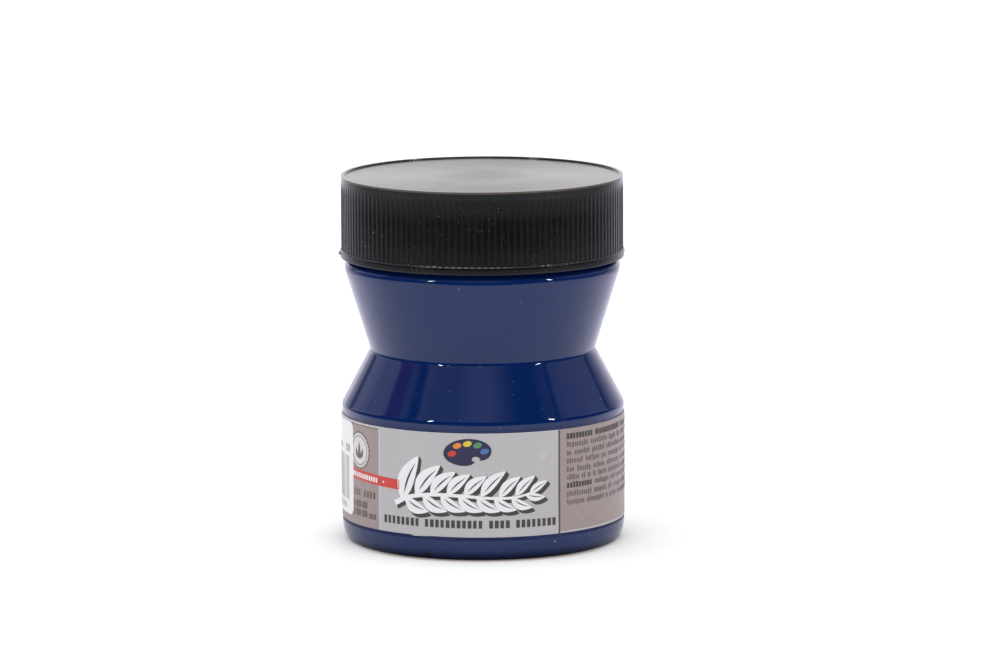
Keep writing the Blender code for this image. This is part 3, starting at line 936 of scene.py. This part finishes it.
def word_blocks(left, right, bottom, top, words, fill, gap=1.0, slope=0.0, ups=0.0, downs=0.0):
    """Runs of plain blocks with the rhythm of a line of print, and no letters.

    words holds the number of blocks in each word; gap is the space between words
    in blocks; ups and downs lengthen some blocks.
    """
    unit = (right - left) / (sum(words) + gap * (len(words) - 1))
    out, run = [], left
    for word in words:
        for i in range(word):
            start = run + unit * i
            end = start + unit * fill * (0.84 + 0.16 * rng.random())
            rise = slope * (start - left)
            kind = rng.random()
            low = bottom - (downs if kind > 0.88 else 0.0) + rise
            high = top + (ups if kind < 0.24 else 0.0) + rise
            rng.random()             # unused draw: the later blocks depend on it
            out.append(rect(start, low, end, high))
        run += unit * (word + gap)
    return out


# ---------------------------------------------------------------------- pieces
mat_jar = jar_material()
mat_paint = paint_material()
mat_lid = lid_material()
mat_liner = liner_material()
mat_silver = film_material("label_film", light=(0.500, 0.490, 0.500), dark=(0.455, 0.445, 0.457),
                           weave=0.10, weave_depth=0.012, rough_range=(0.30, 0.42))
mat_taupe = film_material("label_taupe_print", light=(0.415, 0.337, 0.330),
                          dark=(0.380, 0.307, 0.302), weave=0.62, weave_depth=0.020,
                          rough_range=(0.36, 0.50))
mat_grey_ink = ink_material("ink_dark_grey", srgb(66, 63, 60))
mat_white_ink = ink_material("ink_white", srgb(232, 232, 235), rough=0.38, speckle=0.05, drift=0.03)
mat_red_ink = ink_material("ink_red", srgb(203, 66, 56), rough=0.40, speckle=0.05)
mat_navy_ink = ink_material("ink_navy", srgb(44, 42, 78))
mat_brown_ink = ink_material("ink_brown", srgb(96, 74, 66))
mat_small_ink = ink_material("ink_small_print", srgb(104, 93, 90))
mat_pale_ink = ink_material("ink_pale", srgb(214, 211, 209), rough=0.40, speckle=0.05, drift=0.03)
mat_rule_ink = ink_material("ink_cool_grey", srgb(196, 196, 203), rough=0.40, speckle=0.05,
                            drift=0.03)
mat_varnish = ink_material("ink_clear_varnish", srgb(197, 195, 197), rough=0.16, speckle=0.03,
                           drift=0.02)
mat_paper = paper_material()
mat_bar_ink = ink_material("ink_bars", srgb(158, 157, 160), rough=0.5)

fit(build_jar(mat_jar), "jar", "jar_body")
fit(build_paint(mat_paint), "jar", "paint_fill")
fit(build_lid(mat_lid), "lid", "screw_lid")
fit(build_liner(mat_liner), "liner", "lid_liner")

# The film: nearly a full turn, open at the back, with a step and one lifted tip
# on its lower edge, left of the front.
FILM_HALF = math.pi * ARC_R - 1.6
FILM_LOWER_EDGE = [                  # (run, height above FILM_BOTTOM)
    (-FILM_HALF, 0.0), (-34.5, 0.0), (-19.0, 0.02), (-13.4, 0.05), (-13.0, -0.18),
    (-9.6, -0.10), (-9.0, 0.02), (0.0, 0.0), (30.0, 0.0), (FILM_HALF, 0.0)]


def film_ripple(run, z):
    edge = max(0.0, 1.0 - (z - FILM_BOTTOM) / 1.2)
    lift = math.exp(-((run + 12.6) / 0.9) ** 2) * edge
    return 0.22 * lift + 0.012 * math.sin(run * 0.33) * math.sin(z * 0.27 + 1.0)


film_outline = [(run, FILM_BOTTOM + rise) for run, rise in FILM_LOWER_EDGE]
film_outline += [(FILM_HALF, FILM_TOP), (-FILM_HALF, FILM_TOP)]
film_levels = [FILM_BOTTOM + rise for rise in (0.35, 0.7, 1.2, 1.6)]
film_levels += [FILM_BOTTOM + 1.6 + 2.0 * i for i in range(1, 12)]
fit(wrapped("label_film_wrap", [film_outline], FILM_INNER_R, FILM_R, mat_silver, film_ripple,
            levels=film_levels), "jar", "wrap_label")


def print_piece(name, polygons, level, mat, lattice=LATTICE):
    """A layer of print; level 1 sits just above the film, level 2 above that."""
    outer = FILM_R + PRINT_STEP * level
    fit(wrapped(name, polygons, outer - PRINT_THICK, outer, mat, film_ripple, lattice),
        "jar")


# Side panels and the rules that part them from the front panel.
LEFT_EDGE, RIGHT_EDGE = at_deg(-40.3), at_deg(38.1)
PANEL_BACK_LEFT, PANEL_BACK_RIGHT = -100.4, 100.2
RULE_WIDTH = 0.42
RULE_BOTTOM, RULE_TOP = FILM_BOTTOM + 0.02, FILM_TOP - 0.02
print_piece("label_left_panel", [rect(PANEL_BACK_LEFT, RULE_BOTTOM, LEFT_EDGE, FILM_TOP - 0.70)],
            1, mat_taupe)
print_piece("label_right_panel",
            [rect(RIGHT_EDGE + 0.45, FILM_BOTTOM + 0.45, PANEL_BACK_RIGHT, RULE_TOP)],
            1, mat_taupe)
print_piece("label_edge_rules",
            [rect(RIGHT_EDGE, RULE_BOTTOM, RIGHT_EDGE + RULE_WIDTH, RULE_TOP),
             rect(PANEL_BACK_LEFT, FILM_TOP - 0.72, LEFT_EDGE, FILM_TOP - 0.56)],
            1.2, mat_brown_ink)
print_piece("label_light_rules",
            [rect(LEFT_EDGE, RULE_BOTTOM, LEFT_EDGE + RULE_WIDTH, RULE_TOP),
             rect(LEFT_EDGE + RULE_WIDTH, FILM_TOP - 0.16, RIGHT_EDGE, FILM_TOP - 0.01)],
            1.2, mat_rule_ink)


# Emblem: a painter's palette with five dabs.
def palette_outline():
    out = []
    for i in range(48):
        angle = TAU * i / 48
        dent = 1.0 - 0.20 * math.exp(-((math.degrees(angle) - 305.0) / 17.0) ** 2)
        out.append((0.1 + 5.55 * dent * math.cos(angle) + 0.5 * math.sin(angle),
                    25.35 + 3.15 * dent * math.sin(angle)))
    return out


EMBLEM_DABS = [                      # name, (run, z), colour
    ("red", (-3.45, 25.0), srgb(196, 58, 46)),
    ("orange", (-2.2, 26.85), srgb(226, 128, 52)),
    ("yellow", (0.15, 27.35), srgb(214, 190, 66)),
    ("green", (2.5, 27.0), srgb(82, 140, 92)),
    ("blue", (4.1, 25.6), srgb(70, 110, 170)),
]
print_piece("emblem_palette", [palette_outline()], 1, mat_navy_ink)
print_piece("emblem_thumb_hole", [oval(2.1, 23.75, 0.95, 0.62)], 2, mat_silver)
for colour_name, place, colour in EMBLEM_DABS:
    print_piece("emblem_dab_" + colour_name, [oval(*place, 1.02, 0.66, 0.25)], 2,
                ink_material("ink_dab_" + colour_name, colour, rough=0.35, speckle=0.04))

# Flourish: a branch of white leaves on both sides of a stem, with a dark drop
# shade to the lower right.
STEM_LINE = [(-18.0, 12.6), (-14.0, 14.4), (-8.0, 15.3), (-1.0, 15.2), (6.0, 14.7),
             (12.0, 14.9), (17.2, 16.6)]
LEAVES = [                           # base, tip, width, bow
    ((-16.2, 13.6), (-11.6, 24.1), 4.3, 0.07), ((-12.4, 15.1), (-6.2, 22.2), 3.6, 0.07),
    ((-8.6, 15.5), (-2.6, 20.8), 3.1, 0.07), ((-4.6, 15.6), (0.8, 20.3), 2.8, 0.07),
    ((-0.6, 15.5), (4.6, 19.9), 2.7, 0.07), ((3.2, 15.2), (9.0, 21.0), 2.7, 0.07),
    ((7.4, 15.0), (12.4, 19.6), 2.5, 0.07), ((11.2, 15.2), (15.9, 19.6), 2.3, 0.07),
    ((-15.2, 13.9), (-9.2, 11.2), 2.9, -0.09), ((-10.6, 14.7), (-4.6, 11.5), 2.9, -0.09),
    ((-6.2, 15.0), (-0.4, 11.6), 2.7, -0.09), ((-2.0, 14.9), (3.6, 11.6), 2.6, -0.09),
    ((2.2, 14.6), (7.6, 11.6), 2.5, -0.09), ((6.2, 14.4), (11.4, 11.8), 2.4, -0.09),
    ((10.2, 14.4), (15.2, 12.2), 2.2, -0.09), ((14.6, 15.6), (19.0, 18.2), 1.9, 0.05),
    ((13.6, 15.2), (18.4, 14.5), 1.9, -0.06),
]


def shifted(points, right, up):
    return [(x + right, y + up) for x, y in points]


def vein(base, tip, width, bow):
    """The middle 68 % of a leaf's length, drawn thin."""
    start, end = ([a + share * (b - a) for a, b in zip(base, tip)] for share in (0.16, 0.84))
    return leaf(start, end, 0.11 * width, bow * 0.68)


leaf_shapes = [leaf(*entry) for entry in LEAVES]
shade_shapes = [hull(shape + shifted(shape, 0.75, -0.85)) for shape in leaf_shapes]
shade_shapes.append(brush_stroke(shifted(STEM_LINE, 0.45, -0.50),
                                 [1.9, 1.7, 1.5, 1.4, 1.3, 1.2, 0.8]))
stem = brush_stroke(STEM_LINE, [1.3, 1.0, 0.85, 0.75, 0.65, 0.55, 0.25])
print_piece("flourish_shade", shade_shapes, 1, mat_grey_ink)
print_piece("flourish_white", leaf_shapes, 2, mat_white_ink)
print_piece("flourish_stem", [stem], 2.4, mat_white_ink)
print_piece("flourish_veins", [vein(*entry) for entry in LEAVES], 2.8, mat_grey_ink)

# Caption: four runs of plain blocks.
print_piece("caption_blocks", word_blocks(at_deg(-37.2), at_deg(37.4), 7.72, 9.52, [8, 11, 4, 8],
                                          fill=0.72, gap=0.9), 1, mat_grey_ink)

# Red ribbon from under the sticker to the flourish: (bearing in degrees, z).
RIBBON = [(-60.5, 16.50), (-50.0, 16.25), (-40.0, 15.98), (-29.3, 15.72),
          (-29.3, 18.05), (-40.0, 18.30), (-50.0, 18.58), (-60.5, 18.85)]
print_piece("ribbon_red", [[(at_deg(bearing), z) for bearing, z in RIBBON]], 2, mat_red_ink)
ribbon_blocks = word_blocks(at_deg(-58.9), at_deg(-40.5), 16.98, 18.12, [12], fill=0.66,
                            slope=-0.045)
ribbon_blocks.append(oval(at_deg(-37.6), 17.05, 0.24, 0.24))
print_piece("ribbon_blocks", ribbon_blocks, 3, mat_white_ink, lattice=0.9)

# Round badge with a serrated edge, partly under the sticker.
BADGE = BADGE_RUN, BADGE_Z = at_deg(-53.6), 23.2
badge_leaves = [leaf((BADGE_RUN + 0.1, BADGE_Z - 1.9),
                     (BADGE_RUN + 0.5 * i, BADGE_Z + 1.9 - 0.45 * abs(i)), 1.0, -0.05 * i)
                for i in (-3, 0, 3)]
print_piece("badge_disc", [serrated(*BADGE, 4.25)], 2, mat_pale_ink, lattice=0.9)
print_piece("badge_ring", ring(*BADGE, 3.45, 3.27) + ring(*BADGE, 4.05, 3.97) + badge_leaves,
            3, mat_small_ink, lattice=0.9)
print_piece("badge_edge", ring(*BADGE, 4.42, 4.10, 28), 1.5, mat_small_ink, lattice=0.9)

# Small print on the left panel: words above and below right, and two rows of
# rounded boxes.
left_blocks = word_blocks(at_deg(-60.5), at_deg(-41.8), 12.55, 14.15, [4, 4], fill=0.66)
for left_deg, right_deg in ((-62.0, -57.4), (-56.6, -52.4), (-51.6, -47.8)):
    for box_bottom in (7.85, 9.85):
        left_blocks.append(round_rect(at_deg(left_deg), box_bottom, at_deg(right_deg),
                                      box_bottom + 1.60, 0.35))
left_blocks += word_blocks(at_deg(-46.6), at_deg(-41.8), 7.75, 9.0, [3], fill=0.78)
print_piece("left_panel_blocks", left_blocks, 2, mat_small_ink, lattice=0.9)

# Small print on the right panel.
COLUMN_LEFT = at_deg(42.2)
PRINT_LINES = [                      # base z, left run, right run
    (27.35, 46.2, 62.0), (25.45, COLUMN_LEFT, 62.0), (23.50, COLUMN_LEFT, 62.0),
    (21.60, COLUMN_LEFT, 62.0), (19.65, COLUMN_LEFT, 62.0), (17.80, COLUMN_LEFT, 56.0),
    (15.95, 33.2, 62.0), (13.95, COLUMN_LEFT, 62.0), (12.05, COLUMN_LEFT, 56.0)]
line_blocks = []
for base_z, line_left, line_right in PRINT_LINES:
    words = []
    blocks_left = 52
    while blocks_left > 2:
        length = rng.choice([2, 3, 5, 6, 7, 9, 11])
        words.append(min(length, blocks_left))
        blocks_left -= length + 1
    line_blocks += word_blocks(line_left, line_right, base_z + 0.02, base_z + 0.98, words,
                               fill=0.66, gap=1.1, ups=0.30, downs=0.26)
print_piece("right_panel_blocks", line_blocks, 2, mat_small_ink, lattice=2.2)
strong = word_blocks(COLUMN_LEFT, 45.4, 27.32, 28.60, [9, 13], fill=0.74)
strong += word_blocks(COLUMN_LEFT, 32.3, 15.92, 17.05, [9], fill=0.74, ups=0.2)
print_piece("right_panel_strong_blocks", strong, 3, mat_grey_ink)

# Faint varnish ring on the right of the front panel.
VARNISH = VARNISH_RUN, VARNISH_Z = at_deg(31.2), 24.0
print_piece("varnish_ring", ring(*VARNISH, 2.75, 2.62, 32) + ring(*VARNISH, 2.05, 1.98, 32)
            + [oval(*VARNISH, 1.1, 0.22, 0.3), oval(VARNISH_RUN, VARNISH_Z - 0.7, 0.9, 0.16, 0.3)],
            1, mat_varnish)

# Sticker with rounded corners and a bar code, on the left of the label.
STICKER_RIGHT = at_deg(-58.9)
STICKER_LEFT = STICKER_RIGHT - 32.0
STICKER_BOTTOM, STICKER_TOP = sticker_lo.z, sticker_hi.z
BARS_LEFT = STICKER_LEFT + 3.4


def paper_lift(run, z):
    """The two right-hand corners stand off a little, and the sheet waves slightly."""
    across = (run - STICKER_RIGHT) ** 2
    lift = (math.exp(-(across + (z - STICKER_TOP) ** 2) / 6.0)
            + math.exp(-(across + (z - STICKER_BOTTOM) ** 2) / 5.0))
    return 0.05 * lift + 0.012 * math.sin(run * 0.5) * math.sin(z * 0.4)


sheet = round_rect(STICKER_LEFT, STICKER_BOTTOM, STICKER_RIGHT, STICKER_TOP, 1.8, 8)
fit(wrapped("sticker_sheet", [sheet], 32.925, 33.06, mat_paper, paper_lift),
    "jar", "barcode_sticker")
bars, bar_left = [], BARS_LEFT
while bar_left < STICKER_RIGHT - 3.0:
    bar_width = rng.choice([0.27, 0.27, 0.54, 0.81])
    bars.append(rect(bar_left, 10.7, bar_left + bar_width, 21.0))
    bar_left += bar_width + rng.choice([0.30, 0.30, 0.60, 0.85])
for i in range(13):
    digit_left = BARS_LEFT + 1.9 * i
    bars.append(rect(digit_left, 8.6, digit_left + 0.9, 9.9))
bars += word_blocks(STICKER_RIGHT - 4.6, STICKER_RIGHT - 1.5, 22.0, 23.7, [2], fill=0.70)
bars += word_blocks(STICKER_LEFT + 3.0, STICKER_RIGHT - 8.5, 22.0, 23.3, [6, 4, 3], fill=0.75)
fit(wrapped("sticker_bars", bars, 33.02, 33.085, mat_bar_ink, paper_lift),
    "jar")

# A seam strip near the film's right-hand end, at the back.
SEAM_LEFT, SEAM_RIGHT = math.pi * ARC_R - 2.4, math.pi * ARC_R - 1.75
print_piece("seam_glue_line", [rect(SEAM_LEFT, FILM_BOTTOM + 0.2, SEAM_RIGHT, FILM_TOP - 0.2)],
            2, mat_pale_ink)


# ----------------------------------------------------------------------- floor
def floor_material():
    """Pale paper that reflections see brighter behind the jar and dark well in
    front of it."""
    mat, where = new_material("backdrop_paper")
    x, y, _ = where.xyz()
    ahead = toward_camera(x, y)
    path = add(where.tree, "ShaderNodeLightPath")
    glossy, camera_ray = path.output("Is Glossy Ray"), path.output("Is Camera Ray")
    far_front = ahead.step(start=0.20, end=0.25) * glossy
    fibre = noise(where, scale=300.0, detail=4.0)
    base = fibre.mix((0.925, 0.925, 0.93), (0.945, 0.945, 0.95))
    base = base.toward((0.01, 0.01, 0.012), by=far_front)
    behind = ahead.step(start=0.03, end=-0.10) * glossy
    base = base.toward((1.14, 1.11, 1.28), by=behind)
    # far out, reflections keep their light only straight behind the jar
    reach = axis_distance(x, y)
    back = (ahead * -1.0).math("DIVIDE", reach)
    back = back.affine(scale=1.2, plus=-0.20).max(0.0).math("POWER", 1.5)
    back = back.affine(scale=0.92, plus=0.08).clamped()
    back = reach.step(start=0.26, end=0.34).mix_value(1.0, back)
    base = base.times_grey(back.max(1.0 - glossy))
    # warm shade hugging the front of the foot
    hug = axis_distance(x, y).step(start=0.0343, end=0.0322) * camera_ray
    hug = hug * ahead.step(start=0.0140, end=0.0270)
    base = base.toward((0.66, 0.57, 0.53), by=hug)
    base = base.times_grey(camera_ray.affine(scale=0.195, plus=1.0))
    return finish_tree(mat, add(where.tree, "ShaderNodeBsdfDiffuse",
                                {"Color": base, "Roughness": 0.0}))


FLOOR_HALF = 6.0                     # metres
floor_corners = [(FLOOR_HALF * i, FLOOR_HALF * j, 0.0) for i, j in ((-1, -1), (1, -1), (1, 1), (-1, 1))]
floor = make_object("backdrop", make_mesh("backdrop", floor_corners, [(0, 1, 2, 3)]),
                    floor_material())


# ----------------------------------------------------------------------- world
def cool(level):
    return (level * 1.03, level, level * 1.28)


def lilac(level):
    return (level * 0.99, level * 0.93, level * 1.07)


DIM_RED = (0.19, 0.0, 0.0)
BACK_WHITE = (1.14, 1.125, 1.145)
# Room light above the horizon band: (azimuth in degrees rightwards from the
# camera, colour), in three tables because a ramp holds at most 32 stops.
HIGH_LEFT = [
    (-180.0, BACK_WHITE), (-172.0, 1.18), (-168.0, 1.25), (-160.0, lilac(1.50)),
    (-157.0, lilac(1.40)), (-153.5, lilac(1.02)), (-150.0, lilac(0.82)), (-144.0, lilac(0.52)),
    (-141.5, 0.14), (-138.7, 0.12), (-136.2, 0.48), (-131.0, cool(0.60)), (-119.0, cool(0.58)),
    (-116.0, cool(0.46)), (-112.0, cool(0.53)), (-101.0, cool(0.57)), (-97.5, cool(0.50)),
    (-95.5, DIM_RED), (-90.0, DIM_RED)]
HIGH_MIDDLE = [
    (-90.0, DIM_RED), (-83.5, DIM_RED), (-80.5, cool(0.22)), (-76.0, cool(0.22)), (-72.0, 0.02),
    (-66.0, 0.01), (-63.5, 0.20), (-61.5, 0.42), (-57.5, 0.32), (-50.0, 0.27), (-30.0, 0.26),
    (-12.0, cool(0.44)), (8.0, cool(0.44)), (20.0, cool(0.22)), (34.0, 0.03), (56.0, 0.01),
    (62.0, 0.12), (70.0, 0.15), (71.5, 0.03), (74.0, 0.03)]
HIGH_RIGHT = [
    (74.0, 0.03), (76.5, 0.32), (88.0, cool(0.41)), (110.0, cool(0.41)), (123.0, 0.34),
    (126.4, 0.27), (127.4, 0.06), (129.4, 0.06), (131.3, 0.28), (135.5, 0.35),
    (139.5, lilac(0.57)), (144.0, lilac(0.73)), (150.0, lilac(0.97)), (157.0, lilac(1.22)),
    (164.0, 1.35), (172.0, 1.16), (180.0, BACK_WHITE)]
LOW = [
    (-180.0, 1.0), (-163.0, 1.0), (-159.0, 0.2), (-154.0, 0.10), (-130.0, 0.04),
    (-100.0, (0.03, 0.01, 0.02)), (-85.0, 0.006), (100.0, 0.006), (112.0, 0.02), (130.0, 0.05),
    (141.0, 0.10), (146.0, 0.25), (150.0, 1.0), (180.0, 1.0)]


def seen_by_cone(around_deg):
    """Azimuth and elevation seen mirrored in the lower cone, this far round from the camera."""
    around, look_down = math.radians(around_deg), math.radians(10.6)
    dot = (math.cos(CONE) * math.cos(look_down) * math.cos(around)
           + math.sin(CONE) * math.sin(look_down))
    x = 2.0 * dot * math.cos(CONE) * math.sin(around)
    y = 2.0 * dot * math.cos(CONE) * math.cos(around) - math.cos(look_down)
    z = 2.0 * dot * math.sin(CONE) - math.sin(look_down)
    return math.degrees(math.atan2(x, y)), math.degrees(math.asin(max(-1.0, min(1.0, z))))


def room_light(direction):
    """What glossy rays see: a banded room and two narrow lamps."""
    to_degrees = 180.0 / math.pi
    x, y, z = direction.xyz()
    front = toward_camera(x, y)
    right = x * -CAM_Y + y * CAM_X
    azimuth = right.math("ARCTAN2", front) * to_degrees
    elevation = z.math("ARCSINE") * to_degrees
    around = azimuth.affine(scale=1.0 / 360.0, plus=0.5)

    def round_room(stops):
        return ramp(around, [((degrees + 180.0) / 360.0, colour) for degrees, colour in stops])

    # height above the line that the lower cone mirrors
    cone_path = [seen_by_cone(degrees) for degrees in range(0, 90, 6)]
    cone_stops = [(across / 180.0, max(0.0, up / 90.0)) for across, up in cone_path]
    cone_line = ramp(abs(azimuth) * (1.0 / 180.0), cone_stops + [(1.0, 0.0)]) * 90.0
    above = elevation - cone_line

    left_or_middle = azimuth.math("GREATER_THAN", -90.0)
    high = left_or_middle.mix(round_room(HIGH_LEFT), round_room(HIGH_MIDDLE))
    high = azimuth.math("GREATER_THAN", 74.0).mix(high, round_room(HIGH_RIGHT))
    lit = above.line(start=-11.5, end=-8.0)
    near_edge = above.step(start=-9.0, end=-6.0) - above.step(start=-3.0, end=-0.3)
    high = high.times_grey(near_edge.affine(scale=0.5, plus=1.0))
    high = high.toward((1.0, 1.0, 1.02), by=elevation.step(start=58.0, end=72.0))
    room = lit.mix(round_room(LOW), high)

    def lamp(at_azimuth, at_elevation, wide, tall):
        across = (azimuth - at_azimuth) * (math.cos(math.radians(at_elevation)) / wide)
        upward = (elevation - at_elevation) * (1.0 / tall)
        return oval_distance(across, upward).step(start=1.0, end=0.7)

    lamps = lamp(-46.5, 29.0, wide=1.7, tall=8.5).max(lamp(61.5, 27.0, wide=1.7, tall=8.5))
    room = room.toward((45.0, 45.0, 45.0), by=lamps)
    ambient = elevation.step(start=-10.0, end=70.0).mix((1.02, 1.02, 1.03), (1.14, 1.14, 1.14))
    return room, ambient


def build_world():
    """Banded room for reflections, soft light for the rest, white where seen."""
    world = bpy.data.worlds.new("studio")
    bpy.context.scene.world = world
    world.use_nodes = True
    tree = world.node_tree
    tree.nodes.clear()
    room, ambient = room_light(add(tree, "ShaderNodeTexCoord").output("Generated"))
    path = add(tree, "ShaderNodeLightPath")
    colour = path.output("Is Glossy Ray").mix(ambient, room)
    seen = path.output("Is Camera Ray").max(path.output("Is Transmission Ray"))
    colour = colour.toward((1.0, 1.0, 1.0), by=seen)
    background = add(tree, "ShaderNodeBackground", {"Color": colour, "Strength": 1.0})
    finish_tree(world, background, "ShaderNodeOutputWorld")
    world.cycles.sampling_method = "NONE"


build_world()

# ---------------------------------------------------------------------- camera
CAMERA_DISTANCE, CAMERA_HEIGHT = 1.5028975, 0.282043       # metres
CAMERA_LENS, CAMERA_SENSOR = 235.332, 36.0                 # mm
PITCH, YAW, ROLL = math.radians(8.855), math.radians(0.149), math.radians(-0.257)


def build_camera():
    """Camera placed on -Y and aimed, then swung round the axis by VIEW_TURN."""
    forward = Vector((math.sin(YAW) * math.cos(PITCH), math.cos(YAW) * math.cos(PITCH),
                      -math.sin(PITCH)))
    level_side = Vector((math.cos(YAW), -math.sin(YAW), 0.0))
    level_up = level_side.cross(forward)
    side = level_side * math.cos(ROLL) + level_up * math.sin(ROLL)
    up = level_up * math.cos(ROLL) - level_side * math.sin(ROLL)
    pose = Matrix((
        (side.x, up.x, -forward.x, 0.0),
        (side.y, up.y, -forward.y, -CAMERA_DISTANCE),
        (side.z, up.z, -forward.z, CAMERA_HEIGHT),
        (0.0, 0.0, 0.0, 1.0)))
    data = bpy.data.cameras.new("camera")
    data.sensor_width = CAMERA_SENSOR
    data.lens = CAMERA_LENS
    data.shift_x, data.shift_y = 0.0005, -0.0008
    data.clip_start, data.clip_end = 0.05, 60.0
    camera = bpy.data.objects.new("camera", data)
    bpy.context.scene.collection.objects.link(camera)
    camera.matrix_world = Matrix.Rotation(VIEW_TURN, 4, "Z") @ pose
    bpy.context.scene.camera = camera


build_camera()

scene = bpy.context.scene
scene.view_settings.view_transform = "Standard"
scene.view_settings.look = "None"
scene.view_settings.exposure = 0.0
scene.view_settings.gamma = 1.0
scene.cycles.use_denoising = True
scene.cycles.max_bounces = 12
scene.cycles.transparent_max_bounces = 16
scene.cycles.sample_clamp_indirect = 30.0
